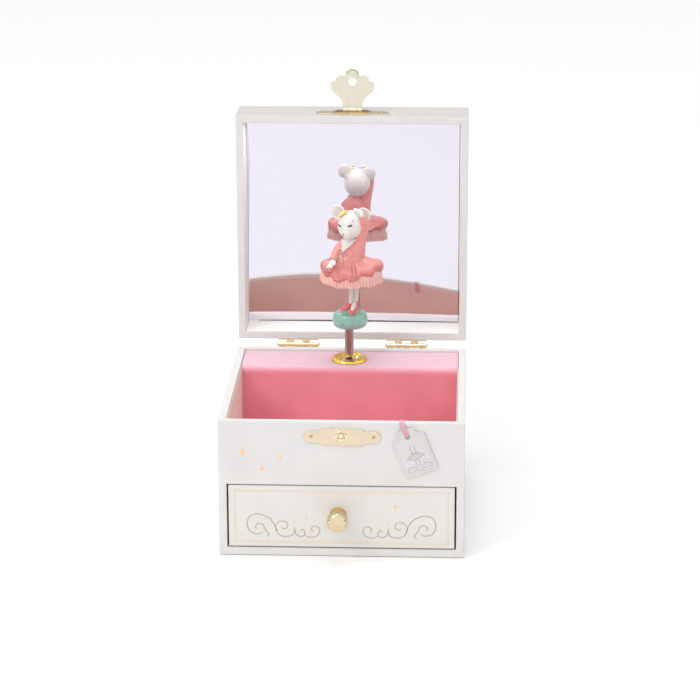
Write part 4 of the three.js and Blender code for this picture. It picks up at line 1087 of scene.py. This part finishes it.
def build_hasp_plate(pivot):
    """The turning plate with its stud hole, its sleeve round the pin and a rim to lift it by."""
    centre = pivot[1] - 0.3
    right = hasp_half()
    outline = right + [(0.0, HASP_TIP)] + [(-x, up) for x, up in reversed(right)]
    bm = bmesh.new()
    pierced_plate(bm, (outline, circle(0, 14.7, 2.15, 40)),
                  [lambda x, up, y=centre + way: (x, y, pivot[2] + up) for way in (0.3, -0.3)])
    bmesh.ops.bevel(bm, geom=sharp_edges(bm, 60), offset=0.12, segments=2, profile=0.5, affect="EDGES")
    knuckle(bm, pivot, -2.25, 2.25, *HASP_SLEEVE)
    add_cube(bm, (-2.25, centre - 0.28, pivot[2] + 0.5), (2.25, centre + 0.28, pivot[2] + 2.4))
    piece("hasp_shell_plate", bm, HASP_GOLD, "hasp", ("hasp_plate",), "pale_gold")
    rim = []
    for k in range(25):
        angle = math.pi * (0.02 + 0.96 * k / 24)
        rim.append(Vector((3.0 * math.cos(angle), centre + 0.35, pivot[2] + 18.1 + 2.85 * math.sin(angle))))
    bm = bmesh.new()
    tube(bm, rim, [0.2 + 0.3 * math.sin(math.pi * k / 24) for k in range(25)], 16)
    piece("hasp_finger_lift", bm, TACK_GOLD, "hasp", (), "pale_gold", 60)


# ------------------------------------------------------------------ ribbon and tag

TAG_TURN = math.radians(21.5)
TAG_CORNER = (31.8, 40.9)
TAG_WIDTH = 16.7
TAG_TOP = 24.0
TAG_SHOULDER = 19.8
TAG_HOLE = 20.2


def on_tag(across, up):
    """A point on the tilted tag, from its lower left corner, as x and z."""
    return (TAG_CORNER[0] + across * math.cos(TAG_TURN) - up * math.sin(TAG_TURN),
            TAG_CORNER[1] + across * math.sin(TAG_TURN) + up * math.cos(TAG_TURN))


def tag_outline(inset=0.0):
    """The tag's outline from its lower left corner, with hollowed shoulders."""
    w, t, s = TAG_WIDTH - inset, TAG_TOP - inset, TAG_SHOULDER - inset * 0.7
    right = [(w - 0.5, inset), (w, inset + 0.5), (w, s - 0.4), (w - 0.6, s)]
    for k in range(1, 7):
        angle = -math.pi / 2 - k * math.pi / 12
        right.append((w - 0.4 + 3.6 * math.cos(angle), s + 3.4 + 3.4 * math.sin(angle)))
    right.append((w - 4.3, t))
    return right + [(TAG_WIDTH - x, z) for x, z in reversed(right)]


def build_tag():
    low, high = corners("gift_tag")
    bm = bmesh.new()

    def place(y):
        return lambda across, up: (on_tag(across, up)[0], y, on_tag(across, up)[1])

    hole = circle(TAG_WIDTH / 2, TAG_HOLE, 1.3, 32)
    pierced_plate(bm, (tag_outline(), hole), (place(high[1]), place(low[1])))
    round_edges(bm, 0.1, 2, 60)
    piece("card_tag", bm, CARD, "tag", ("gift_tag",), "tag_card")
    build_tag_print(low[1])
    build_ribbon(low[1])


def tag_stroke(bm, points, width, face, steps=6):
    stroke(bm, [on_tag(*p) for p in points], width, face, steps, 0.4)


def build_tag_print(face):
    """A border line, a tutu with slippers over a flourish: a generic ballet ornament."""
    bm = bmesh.new()
    inner = tag_outline(1.1)
    for start, end in zip(inner, inner[1:] + inner[:1]):
        tag_stroke(bm, [start, end], 0.2, face, 1)

    def draw(points, width, steps=6, sign=1):
        """A line through points from the tag's middle, mirrored where sign is -1."""
        grown = [(TAG_WIDTH / 2 + sign * across * 1.3, 9.6 + (up - 9.6) * 1.22) for across, up in points]
        tag_stroke(bm, grown, width, face, steps)

    draw([(-1.2, 11.4), (0, 11.0), (1.2, 11.4)], 0.3)
    for k in range(-4, 5):
        draw([(0.25 * k, 11.1), (0.62 * k + math.sin(k * 0.33), 8.9 + 0.12 * abs(k)),
              (0.95 * k, 8.2 + 0.33 * abs(k))], 0.2, 3)
    draw([(0.95 * k, 8.2 + 0.33 * abs(k) - 0.25 * (k % 2)) for k in range(-4, 5)], 0.26)
    for sign in (-1, 1):
        draw([(0.4, 14.6), (1.0, 13.2), (0.6, 12.0), (1.2, 11.4)], 0.3, sign=sign)
        draw([(0.5, 8.1), (0.7, 6.4), (0.3, 5.2)], 0.24, sign=sign)
        draw([(0.6, 4.9), (2.0, 5.5), (3.5, 5.6), (4.7, 4.8), (4.6, 3.9), (3.8, 3.7), (3.4, 4.3)], 0.26,
             sign=sign)
        draw([(0.6, 4.9), (1.5, 4.0), (2.4, 4.1), (2.4, 4.8)], 0.24, sign=sign)
    draw([(-1.6, 4.1), (0, 3.3), (1.6, 4.1)], 0.24)
    piece("tag_ornament", bm, GREY_INK, "tag")
    marks = ((4.2, 14.5, 1.5), (12.4, 13.6, 1.3), (3.6, 9.2, 1.0), (13.0, 9.8, 1.1))
    stars = [star(*on_tag(across, up), size, size) for across, up, size in marks]
    printed("tag_stars", stars, face, ORANGE_FOIL, "tag")


def build_ribbon(face):
    """A narrow satin tape: glued inside the front wall, over the rim, down into the tag's hole."""
    hole = on_tag(TAG_WIDTH / 2, TAG_HOLE + 0.3)
    low, high = corners("ribbon_inside")
    x = (low[0] + high[0]) / 2
    inside = high[1] - 0.12
    top = RIM + 0.16
    front = FRONT - 0.16
    start = RIM - 0.35
    path = [(x, inside, RIM - 5.4), (x, inside, RIM - 1.6), (x, inside - 0.25, RIM - 0.1),
            (x, inside - 0.9, top), (x, FRONT + 1, top), (x, FRONT + 0.25, top - 0.02),
            (x + 0.02, front, start)]
    for t in (0.12, 0.25, 0.45, 0.7, 0.9):
        out = front - 0.2 - 0.75 * min(1, t * 2.4)
        path.append((x + (hole[0] - x) * t, out, start - (start - hole[1]) * t))
    path += [(hole[0], face - 0.12, hole[1] - 0.1), (hole[0], face + 0.25, hole[1] - 0.35)]
    line = smooth_line(path, 6)
    count = len(line)
    half, thick = 1.2, 0.13
    across = [-1 + k / 4 for k in range(9)]
    rings = []
    for i, p in enumerate(line):
        along = (line[min(i + 1, count - 1)] - line[max(i - 1, 0)]).normalized()
        side = Vector((1, 0, 0))
        side = (side - along * side.dot(along)).normalized()
        lift = side.cross(along)
        wide = side * half * (1 if i < count * 0.85 else 0.8)
        over = [p + wide * u + lift * (thick + 0.05 * math.cos(u * 9)) for u in across]
        rings.append(over + [p + wide * u - lift * thick * 0.4 for u in reversed(across)])
    bm = bmesh.new()
    skin(bm, rings)
    ribbon = piece("tag_ribbon", bm, RIBBON, None, ("ribbon_inside", "ribbon_tail"), "ribbon", 60)
    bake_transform(ribbon)


# ------------------------------------------------------------------ spindle, ferrule, key


def build_spindle():
    low, high = corners("spindle_ferrule")
    z = low[2]
    centre = (SPINDLE[0], SPINDLE[1], 0)
    outer = (high[0] - low[0]) / 2
    ring = [(5.1, -0.6), (5.0, 0.5), (5.4, 1.0), (6.1, 0.95), (6.6, 0.7), (7.4, 1.15), (8.1, 1.45),
            (8.8, 1.05), (outer, 0.3), (outer - 0.1, 0.02), (5.6, 0), (5.1, -0.6)]
    turned("ferrule_ring", RING_GOLD, "case", ring, z, "Z", centre, 80, ("spindle_ferrule",), "gold", 60)
    well = [(3.0, -1.4), (3.0, -0.9), (3.4, -0.7), (4.3, 0.1), (5.3, 0.7), (5.4, -1.2), (3.0, -1.4)]
    turned("ferrule_well", BOSS_GOLD, "case", well, z, "Z", centre, 48, (), "steel")
    r = 2.33
    start = corners("dancer_spindle")[0][2] + 2.2
    tall = SPINDLE_TOP - start
    rod = [(0, 0), (r - 0.1, 0), (r, 0.2), (r, tall - 0.45), (r - 0.15, tall - 0.1), (r - 0.5, tall),
           (0, tall)]
    turned("spindle_rod", STEM_STEEL, "spindle", rod, start, "Z", centre, 48, (), "steel", 40)


def build_key():
    low, high = corners("winding_key")
    x, z = (low[0] + high[0]) / 2, (low[2] + high[2]) / 2
    start = low[1]
    sleeve = [(0, 0), (2.9, 0), (3.05, 0.2), (3.05, 5.8), (2.6, 6.6), (2.0, 7.4), (0, 7.6)]
    turned("key_sleeve", BRASS, "key", sleeve, start, "Y", (x, 0, z), 40, ("winding_key",), "brass")
    loop = [(1.2, 6.6), (5, 5.7), (9, 6.2), (11, 9), (10, 12.6), (6.6, 13.9), (3, 12.4), (1.4, 9.6)]
    bm = bmesh.new()
    for sign in (-1, 1):
        line = smooth_line([(x + sign * a, start + b, z) for a, b in loop], 6, closed=True)
        tube(bm, line, 1.15, 14, 0.85, closed=True, up=(0, 0, 1))
    piece("key_wings", bm, BRASS, "key", (), "brass", 60)
    inner = corners("winding_arbor")[0][1]
    tall = start - 0.05 - inner
    rod = [(0, 0), (1.45, 0), (1.6, 0.2), (1.6, tall), (0, tall)]
    turned("arbor_rod", STEEL, "key", rod, inner, "Y", (x, 0, z), 32, ("winding_arbor",), "steel")


# ------------------------------------------------------------------ dancer


def build_dome():
    """A turned dome, with a shallow hollow below for its magnet."""
    low, high = corners("dancer_dome")
    r = (high[0] - low[0]) / 2
    base, top = low[2], high[2]
    shape = [(2.7, 0.1), (4.8, 0), (6.8, 0.15), (8.3, 1.0), (r - 0.1, 2.5), (r + 0.02, 4.0), (r - 0.3, 6.0),
             (8.0, 7.6), (5.8, 8.65), (3.0, 9.0), (0.0, top - base)]
    curve = smooth_line([(a, base + h, 0) for a, h in shape], 5)
    rings = []
    for a, h in [(0.01, base + 2.95), (2.7, base + 2.95)] + [(p.x, p.y) for p in curve]:
        wide = max(a, 0.01)
        aside = 0.5 * max(0, min(1, (a - 3) / 4)) if h < top - 1 else 0.5
        rings.append(body_ring(h, wide, wide, aside))
    bm = bmesh.new()
    skin(bm, rings)
    piece("green_dome", bm, GREEN, "dancer", ("dancer_dome",), "green_resin", 60)
    magnet = [(0, 0.1), (2.3, 0.1), (2.5, 0.3), (2.5, 2.8), (0, 2.8)]
    centre = (SPINDLE[0], SPINDLE[1], 0)
    turned("dome_magnet", STEEL, "dancer_seat", magnet, base, "Z", centre, 40, ("dancer_magnet",), "steel")


def body_ring(z, rx, ry, cx=0.0, cy=0.0, sides=96, wave=None, tilt=0.0, dip=0.0, roll=0.0):
    """An oval ring round the dancer's axis. wave moves each part of it, tilt raises the back,
    dip lowers the front and the back, and roll raises the right."""
    ring = []
    for k in range(sides):
        angle = 2 * math.pi * k / sides
        grow, lift = wave(angle) if wave else (0, 0)
        lift += tilt * math.sin(angle) - dip * math.sin(angle) ** 2 + roll * math.cos(angle)
        ring.append(Vector((SPINDLE[0] + cx + (rx + grow) * math.cos(angle),
                            SPINDLE[1] + cy + (ry + grow) * math.sin(angle), z + lift)))
    return ring


def at_dancer(points):
    """Points given from the spindle's axis, placed in the shared frame."""
    return [Vector((SPINDLE[0] + x, SPINDLE[1] + y, z)) for x, y, z in points]


SKIRT_SHIFT = (1.1, -1.1)
TORSO = [(121.5, 8.0, 6.6), (123.6, 7.4, 6.1), (126.0, 6.5, 5.6), (128.5, 5.7, 5.2), (131.0, 4.8, 4.6),
         (133.2, 3.6, 3.7), (134.6, 2.6, 2.9)]


def surface_of(obj):
    """A piece's surface for casting points onto, in millimetres."""
    mesh = obj.data
    faces = [tuple(p.vertices) for p in mesh.polygons]
    return BVHTree.FromPolygons([v.co / MM for v in mesh.vertices], faces)


def seen(surface, place, out=0.0):
    """Where the photograph's line of sight through a place meets a surface, or the place itself."""
    target = at_dancer([place])[0]
    sight = (target - CAMERA_PLACE).normalized()
    hit, normal, _, _ = surface.ray_cast(target - sight * 40, sight)
    if hit is None:
        return target
    if normal.dot(sight) > 0:
        normal = -normal
    return hit + normal * out


def hem_wave(strength):
    """The skirt's folds: how far out and how far down each part of the hem goes."""
    def wave(angle):
        front = angle + math.pi / 2
        ripple = math.cos(10 * (front - 0.17) + 0.7 * math.sin(2 * front + 0.4))
        fold = 0.55 * ripple - 0.25 * ripple ** 2 + 0.5 * math.cos(3 * front + 1.2) + 0.1
        near = 0.72 + 0.45 * math.cos(front - 0.1)
        return 0.9 * strength * fold * near, -0.9 * strength * fold * near
    return wave


def blended(name, bm, material, voxel=0.26, rounds=8):
    """Overlapping closed shapes fused into one smooth cast surface."""
    bmesh.ops.recalc_face_normals(bm, faces=bm.faces)
    mesh = bpy.data.meshes.new("cast")
    bm.to_mesh(mesh)
    bm.free()
    obj = bpy.data.objects.new("cast", mesh)
    bpy.context.scene.collection.objects.link(obj)
    fuse = obj.modifiers.new("fuse", "REMESH")
    fuse.mode = "VOXEL"
    fuse.voxel_size = voxel
    fuse.adaptivity = 0
    relax = obj.modifiers.new("relax", "SMOOTH")
    relax.factor = 0.5
    relax.iterations = rounds
    graph = bpy.context.evaluated_depsgraph_get()
    fused = bmesh.new()
    fused.from_mesh(bpy.data.meshes.new_from_object(obj.evaluated_get(graph)))
    bpy.data.objects.remove(obj)
    return cast_piece(name, fused, material, 80)


def swelling_tube(bm, path, radii, sides=28, steps=6, flat=1.0):
    """A tube through points near the dancer's axis, with a radius given at each point."""
    line = smooth_line(at_dancer(path), steps)
    spread = smooth_line([(r, 0, 0) for r in radii], steps)
    tube(bm, line, [r.x for r in spread], sides, flat)


def build_dress():
    """Skirt, bodice and batwing sleeves of the coral dress, cast as one."""
    levels = [(125.0, 7.0, 5.9, 0.3, 0.0, 0.0, 0.0, 0.3), (123.8, 8.2, 6.9, 0.4, -0.1, 0.05, 0.0, 1.0),
              (123.0, 10.4, 8.6, 0.5, -0.4, 0.25, 0.0, 2.0), (122.4, 12.8, 10.3, 0.7, -0.7, 0.5, 0.2, 3.1),
              (121.8, 14.9, 12.0, 0.9, -0.9, 0.8, 0.5, 3.8), (120.9, 15.9, 12.9, 1.1, -1.1, 1.0, 0.8, 3.8),
              (119.6, 16.1, 13.3, 1.2, -1.1, 1.15, 0.9, 3.0), (118.1, 15.9, 13.3, 1.2, -1.1, 1.2, 1.0, 1.8),
              (117.3, 15.4, 12.8, 1.2, -1.1, 1.15, 1.0, 1.2), (117.6, 14.3, 11.8, 1.2, -1.1, 1.0, 1.0, 0.8),
              (118.4, 12.8, 10.4, 1.1, -1.1, 0.6, 0.8, 0.4), (118.6, 6.0, 5.0, 0.8, -0.6, 0.0, 0.3, 0.0)]
    bm = bmesh.new()
    rings = []
    for z, rx, ry, cx, cy, strength, tilt, dip in levels:
        rings.append(body_ring(z, rx, ry, cx, cy, 200, hem_wave(strength), tilt, dip, 0.6 * strength))
    skin(bm, rings)
    rings = []
    for z, rx, ry in smooth_line(TORSO, 4):
        pull = 0.3 * math.exp(-((z - 125) / 2.2) ** 2)
        rings.append(body_ring(z, rx, ry, 0.2, 0, 96, lambda a, pull=pull: (pull * math.sin(8 * a + 0.5), 0)))
    skin(bm, rings)
    swelling_tube(bm, [(3.9, -0.4, 123.6), (4.4, -0.6, 129.0), (5.9, -1.2, 134.0), (7.3, -2.4, 138.0),
                       (7.9, -3.4, 142.0), (7.5, -4.3, 145.0), (7.0, -4.7, 146.4)],
                  [4.4, 4.2, 3.3, 2.7, 2.35, 1.85, 1.4])
    swelling_tube(bm, [(-2.6, -0.8, 131.6), (-5.0, -1.8, 128.8), (-6.7, -3.4, 125.8), (-7.6, -5.4, 123.9),
                       (-8.0, -6.6, 123.2)], [2.1, 2.4, 2.35, 2.3, 2.45])
    swelling_tube(bm, [(-7.6, -5.0, 122.8), (-8.6, -7.6, 120.6), (-9.4, -9.6, 119.2), (-9.8, -10.8, 118.2)],
                  [2.0, 2.3, 2.2, 1.5], flat=0.75)
    for angle, reach in ((-0.47, 0.7), (0.17, 1.0), (0.8, 0.9), (-1.1, 0.6), (1.5, 0.6)):
        out = Vector((math.sin(angle), -math.cos(angle) * 0.82, 0))
        start = Vector((0.6, -0.2, 124.4)) + out * 5.4
        middle = Vector((0.9, -0.8, 120.6)) + out * 11.6
        end = Vector((*SKIRT_SHIFT, 116.2)) + out * 15.6
        swelling_tube(bm, [start, middle, end], [0.5, 0.9 * reach, 1.0 * reach], 16)
    dress = blended("dancer_dress", bm, CORAL)
    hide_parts("dancer")
    return surface_of(dress)


def pleat(count, out, phase, strength):
    """A wave of small pleats on top of the skirt's own folds."""
    base = hem_wave(0.6)

    def wave(angle):
        grow, lift = base(angle)
        fold = math.sin(count * angle + phase + 0.8 * math.sin(3 * angle))
        return grow * 0.8 + out * fold * strength, lift * 0.4 - 0.35 * abs(fold) * strength
    return wave


def build_frill():
    """Two layers of pleated petticoat under the hem, each with an outside and an inside."""
    outside = [(-0.3, 0), (0, 0.1), (0.3, 0.6), (0.6, 0.9), (0.85, 1.1), (0.96, 1.2), (1, 1.1)]
    inside = [(1, 1.0), (0.8, 0.9), (0.4, 0.5), (0, 0.1), (-0.3, 0)]
    bm = bmesh.new()
    for top, drop, r, count, phase in ((117.2, 5.1, 15.9, 58, 0.0), (116.9, 4.0, 14.9, 49, 1.3)):
        rings = []
        for levels, inset, out in ((outside, 0, 0.4), (inside, 0.65, 0.34)):
            for t, strength in levels:
                reach = r - inset - 0.7 * (1 - t) ** 2
                rings.append(body_ring(top - drop * t, reach, reach - 3.1, *SKIRT_SHIFT, 480,
                                       pleat(count, out, phase, strength), 1.05, 0.1, -0.25))
        skin(bm, rings, closed=True)
    cast_piece("petticoat_frill", bm, FRILL)


def build_hands():
    bm = bmesh.new()
    swelling_tube(bm, [(-7.9, -6.3, 123.3), (-8.0, -7.8, 123.0), (-8.6, -9.0, 122.4), (-9.3, -9.8, 121.8)],
                  [1.5, 1.75, 1.6, 1.0], 24, flat=0.75)
    for k, spread in enumerate((-1.2, -0.4, 0.4, 1.2)):
        swelling_tube(bm, [(-8.9 + spread * 0.7, -9.4, 122.0), (-9.4 + spread * 0.9, -10.4, 121.3),
                           (-9.9 + spread, -11.0 + 0.3 * abs(k - 1.5), 120.5)], [0.6, 0.55, 0.4], 12, 4)
    thumb = [(-7.4, -8.0, 123.4), (-6.9, -9.2, 122.8), (-6.9, -10.0, 122.0)]
    swelling_tube(bm, thumb, [0.6, 0.6, 0.4], 12, 4)
    blended("dancer_resting_hand", bm, FUR, 0.16, 3)
    bm = bmesh.new()
    swelling_tube(bm, [(7.0, -4.6, 146.0), (6.6, -4.0, 147.4), (5.4, -2.8, 148.6), (3.9, -1.6, 149.0)],
                  [1.2, 1.35, 1.25, 0.7], 24, flat=0.85)
    for spread in (-0.7, 0.1, 0.9):
        finger = [(4.6, -2.2 + spread, 148.9), (3.3, -1.5 + spread, 149.2), (2.4, -1.1 + spread, 148.9)]
        swelling_tube(bm, finger, [0.55, 0.5, 0.35], 12, 4)
    blended("dancer_raised_hand", bm, FUR, 0.16, 3)


FACE_DEPTH = -8.9
HEAD_CENTRE = (1.2, -0.4, 140.9)
FACE_AHEAD = Vector((-0.33, -0.93, -0.17)).normalized()


def head_axes():
    right = FACE_AHEAD.cross(Vector((0, 0, 1))).normalized()
    up = right.cross(FACE_AHEAD).normalized()
    return right, up


def head_surface(direction):
    """The head's egg with a pointed muzzle and full cheeks, as an offset for a unit direction."""
    right, up = head_axes()
    ahead, side, high = direction.dot(FACE_AHEAD), direction.dot(right), direction.dot(up)
    r = 1 / math.sqrt((direction.x / 7.0) ** 2 + (direction.y / 6.9) ** 2 + (direction.z / 7.4) ** 2)
    facing = max(0, ahead) ** 0.5
    muzzle = 2.2 * math.exp(-((side / 0.30) ** 2 + ((high + 0.42) / 0.30) ** 2)) * facing
    bridge = 0.7 * math.exp(-((side / 0.35) ** 2 + ((high + 0.1) / 0.45) ** 2)) * facing
    cheek = 0.45 * math.exp(-(((abs(side) - 0.6) / 0.3) ** 2 + ((high + 0.4) / 0.35) ** 2)) * facing
    socket = 0.35 * math.exp(-(((abs(side) - 0.38) / 0.16) ** 2 + ((high - 0.28) / 0.16) ** 2)) * facing
    return direction * (r + muzzle + bridge + cheek - socket)


def build_head():
    bm = bmesh.new()
    made = bmesh.ops.create_uvsphere(bm, u_segments=96, v_segments=64, radius=1)["verts"]
    centre = at_dancer([HEAD_CENTRE])[0]
    for vert in made:
        vert.co = centre + head_surface(vert.co.normalized())
    neck = at_dancer([(0.2, -0.4, 131.6), (0.6, -0.5, 136.0)])
    tube(bm, neck, [3.0, 2.7], 32)
    return surface_of(cast_piece("dancer_head", bm, FUR))


def build_ears():
    """Two cupped ears, with a shaded hollow in each."""
    cup = [(0.02, -0.9), (0.5, -0.75), (0.85, -0.45), (1.0, 0.0), (1.02, 0.45), (0.97, 0.8), (0.86, 0.85),
           (0.6, 0.35), (0.3, 0.12), (0.02, 0.08)]
    hollow = [(0.02, 0.02), (0.6, 0.12), (1.0, 0.42), (0.9, 0.64), (0.5, 0.4), (0.02, 0.32)]
    outer, inner = bmesh.new(), bmesh.new()
    for (x, y, z), r, lean in (((-5.5, 0.8, 147.3), 3.6, 0.45), ((7.5, 0.9, 145.7), 3.75, -0.5)):
        centre = at_dancer([(x, y, z)])[0]
        facing = Vector((-0.25 - 0.15 * lean, -0.92, 0.1)).normalized()
        side = facing.cross(Vector((lean * 0.4, 0, 1))).normalized()
        up = side.cross(facing) * 1.03
        for bm, size, profile in ((outer, r, cup), (inner, r * 0.74, hollow)):
            rings = []
            for reach, depth in profile:
                flat = circle(0, 0, size * reach, 40)
                rings.append([centre + side * across + up * high + facing * depth for across, high in flat])
            skin(bm, rings)
        tube(outer, at_dancer([(x * 0.7, -0.2, 143.6), (x * 0.93, 0.5, 145.6)]), [2.0, 1.4], 20)
    cast_piece("dancer_ears", outer, FUR)
    cast_piece("dancer_ear_hollows", inner, EAR_SHADE)


def face_line(bm, head, points, width):
    """A painted line on the face through (x, z) points as the photograph shows them."""
    line = smooth_line([(x, FACE_DEPTH, z) for x, z in points], 4)
    count = len(line)
    path = [seen(head, p, 0.02) for p in line]
    swell = [0.4 + 0.6 * math.sin(math.pi * (i + 0.5) / count) for i in range(count)]
    tube(bm, path, [width / 2 * s for s in swell], 8)


def build_face(head):
    """Closed narrow eyes, small brows, a nose and a mouth: a plain mouse face."""
    eyes = [([(-5.1, 143.4), (-4.5, 142.9), (-3.7, 142.3)], 0.75),
            ([(-4.6, 142.4), (-4.0, 142.2), (-3.4, 142.0)], 0.4),
            ([(-0.3, 142.1), (0.6, 142.5), (1.5, 142.8), (2.1, 142.9)], 0.7),
            ([(0.4, 142.1), (1.2, 142.2), (1.9, 142.5)], 0.35)]
    right_brow = ([(2.1, 145.0), (2.7, 145.3)], 0.5)
    mouth = [([(-3.9, 136.9), (-3.3, 136.6), (-2.7, 136.9)], 0.36), ([(-2.6, 137.9), (-2.9, 137.0)], 0.22)]
    bm = bmesh.new()
    for points, width in (*eyes, right_brow, *mouth):
        face_line(bm, head, points, width)
    cast_piece("dancer_face_lines", bm, INK)
    bm = bmesh.new()
    face_line(bm, head, [(-4.9, 144.9), (-4.2, 145.2)], 0.4)
    ellipsoid(bm, seen(head, (-2.4, FACE_DEPTH, 138.1)), (0.6, 0.5, 0.42), across=24, down=16)
    cast_piece("dancer_nose", bm, NOSE)


def build_tiara():
    """A gilt comb of beads between the left ear and the top of the head."""
    spine = smooth_line(at_dancer([(-5.3, -2.1, 145.4), (-4.2, -2.3, 146.3), (-3.0, -2.4, 147.1),
                                   (-1.7, -2.3, 147.8), (-0.5, -2.1, 148.3)]), 4)
    count = len(spine) - 1
    bm = bmesh.new()
    tube(bm, spine, [0.45 + 0.55 * math.sin(math.pi * k / count) for k in range(count + 1)], 14)
    for k in range(1, count, 2):
        for high, ahead in ((0.75, -0.25), (0.05, -0.85)):
            size = 0.3 + 0.22 * math.sin(math.pi * k / count)
            ellipsoid(bm, spine[k] + Vector((-0.15, ahead, high)), (size, size, size), across=16, down=10)
    piece("dancer_tiara", bm, GOLD, "dancer", (), "gold", 60)


def build_neckline(dress):
    """A white V at the neck between crossed lapels, with small buttons and gilt flowers below."""
    tip = Vector((-2.8, -6.9, 128.0))
    left_top, right_top = Vector((-3.4, -4.6, 133.6)), Vector((4.8, -4.4, 134.4))
    steps = 14
    bm = bmesh.new()
    made = []
    for k in range(steps + 1):
        left, right = tip.lerp(left_top, k / steps), tip.lerp(right_top, k / steps)
        made.append([bm.verts.new(seen(dress, left.lerp(right, j / steps), 0.25)) for j in range(steps + 1)])
    for a, b in zip(made, made[1:]):
        for j in range(steps):
            bm.faces.new((a[j], a[j + 1], b[j + 1], b[j]))
    bmesh.ops.recalc_face_normals(bm, faces=bm.faces)
    bmesh.ops.solidify(bm, geom=bm.faces[:], thickness=0.8)
    cast_piece("dancer_neckline", bm, FUR)
    bm = bmesh.new()
    for line, width in (((tip, right_top), 0.45), ((tip, left_top), 0.4)):
        path = [seen(dress, line[0].lerp(line[1], k / steps), 0.2) for k in range(steps + 1)]
        tube(bm, path, width, 12)
    seam = [(-2.8, -6.9, 128.2), (-2.6, -7.4, 125.6), (-2.7, -7.9, 123.4), (-3.0, -8.4, 121.8)]
    tube(bm, [seen(dress, p, 0.05) for p in smooth_line(seam, 4)], 0.32, 10)
    cast_piece("dancer_lapels", bm, CORAL, 60)
    bm = bmesh.new()
    for x, z in ((-3.6, 128.4), (-3.3, 125.8), (-3.2, 123.8), (-4.4, 124.6)):
        ellipsoid(bm, seen(dress, (x, FACE_DEPTH, z), 0.15), (0.5, 0.4, 0.5), across=20, down=12)
    cast_piece("dancer_buttons", bm, FUR, 60)
    bm = bmesh.new()
    for x, z in ((-4.1, 130.6), (-4.5, 126.2)):
        spot = seen(dress, (x, FACE_DEPTH, z), 0.2)
        for k in range(5):
            angle = k * 2 * math.pi / 5 + 0.4
            petal = Vector((math.cos(angle) * 0.5, 0, math.sin(angle) * 0.5))
            ellipsoid(bm, spot + petal, (0.4, 0.3, 0.4), across=16, down=10)
    piece("dancer_gold_flowers", bm, GOLD, "dancer", (), "gold", 60)


def build_legs():
    """Two slim legs on tiptoe, in coral slippers cut low over the white instep."""
    bm = bmesh.new()
    swelling_tube(bm, [(1.3, -2.2, 117.0), (1.4, -2.7, 108.5), (1.4, -3.2, 103.4), (0.9, -3.5, 99.6)],
                  [1.5, 1.4, 1.3, 1.1])
    swelling_tube(bm, [(4.1, -1.8, 117.0), (4.0, -2.4, 108.5), (3.7, -3.2, 103.4), (3.3, -4.0, 99.6)],
                  [1.5, 1.4, 1.3, 1.15])
    swelling_tube(bm, [(3.2, -4.9, 100.6), (2.6, -5.9, 98.9), (1.8, -7.2, 97.1)], [0.9, 1.25, 0.75], 20)
    cast_piece("dancer_legs", bm, FUR, 60)
    left = [(1.0, -3.1, 100.2), (0.2, -3.5, 99.0), (-1.4, -4.1, 97.8), (-2.9, -4.6, 96.9), (-4.0, -4.9, 96.4)]
    right = [(3.6, -3.8, 100.6), (3.1, -4.6, 98.9), (2.2, -5.8, 96.9), (1.4, -6.7, 95.3), (0.9, -7.2, 94.4)]
    for side, path, radii in (("left", left, [1.1, 1.5, 1.4, 1.1, 0.4]),
                              ("right", right, [1.2, 1.95, 1.85, 1.3, 0.4])):
        bm = bmesh.new()
        swelling_tube(bm, path, radii, flat=0.9)
        cast_piece(f"dancer_slipper_{side}", bm, SHOE, 60)


def build_dancer():
    build_dome()
    dress = build_dress()
    build_frill()
    build_hands()
    head = build_head()
    build_ears()
    build_face(head)
    build_tiara()
    build_neckline(dress)
    build_legs()


# ------------------------------------------------------------------ movement


def dress_movement():
    """The clockwork's own CAD solids keep their shape and take metal finishes."""
    finishes = {
        STEEL: ["movement_bedplate", "movement_screw_1", "movement_screw_2", "comb", "mainspring",
                "dancer_spindle"],
        BRASS: ["comb_screw_1", "comb_screw_2", "train_bracket", "spring_barrel", "cylinder_arbor",
                "pinned_cylinder", "governor_fan", "governor_bracket"],
    }
    for material, names in finishes.items():
        for name in names:
            mesh = frame["nodes"][name].data
            mesh.materials.clear()
            mesh.materials.append(material)


make_camera()
make_world()
make_lights()
make_floor()
bpy.context.scene.view_settings.view_transform = "Standard"
build_case()
build_stars()
build_drawer()
build_lid()
build_hinges()
build_strike()
build_hasp()
build_tag()
build_spindle()
build_key()
build_dancer()
dress_movement()
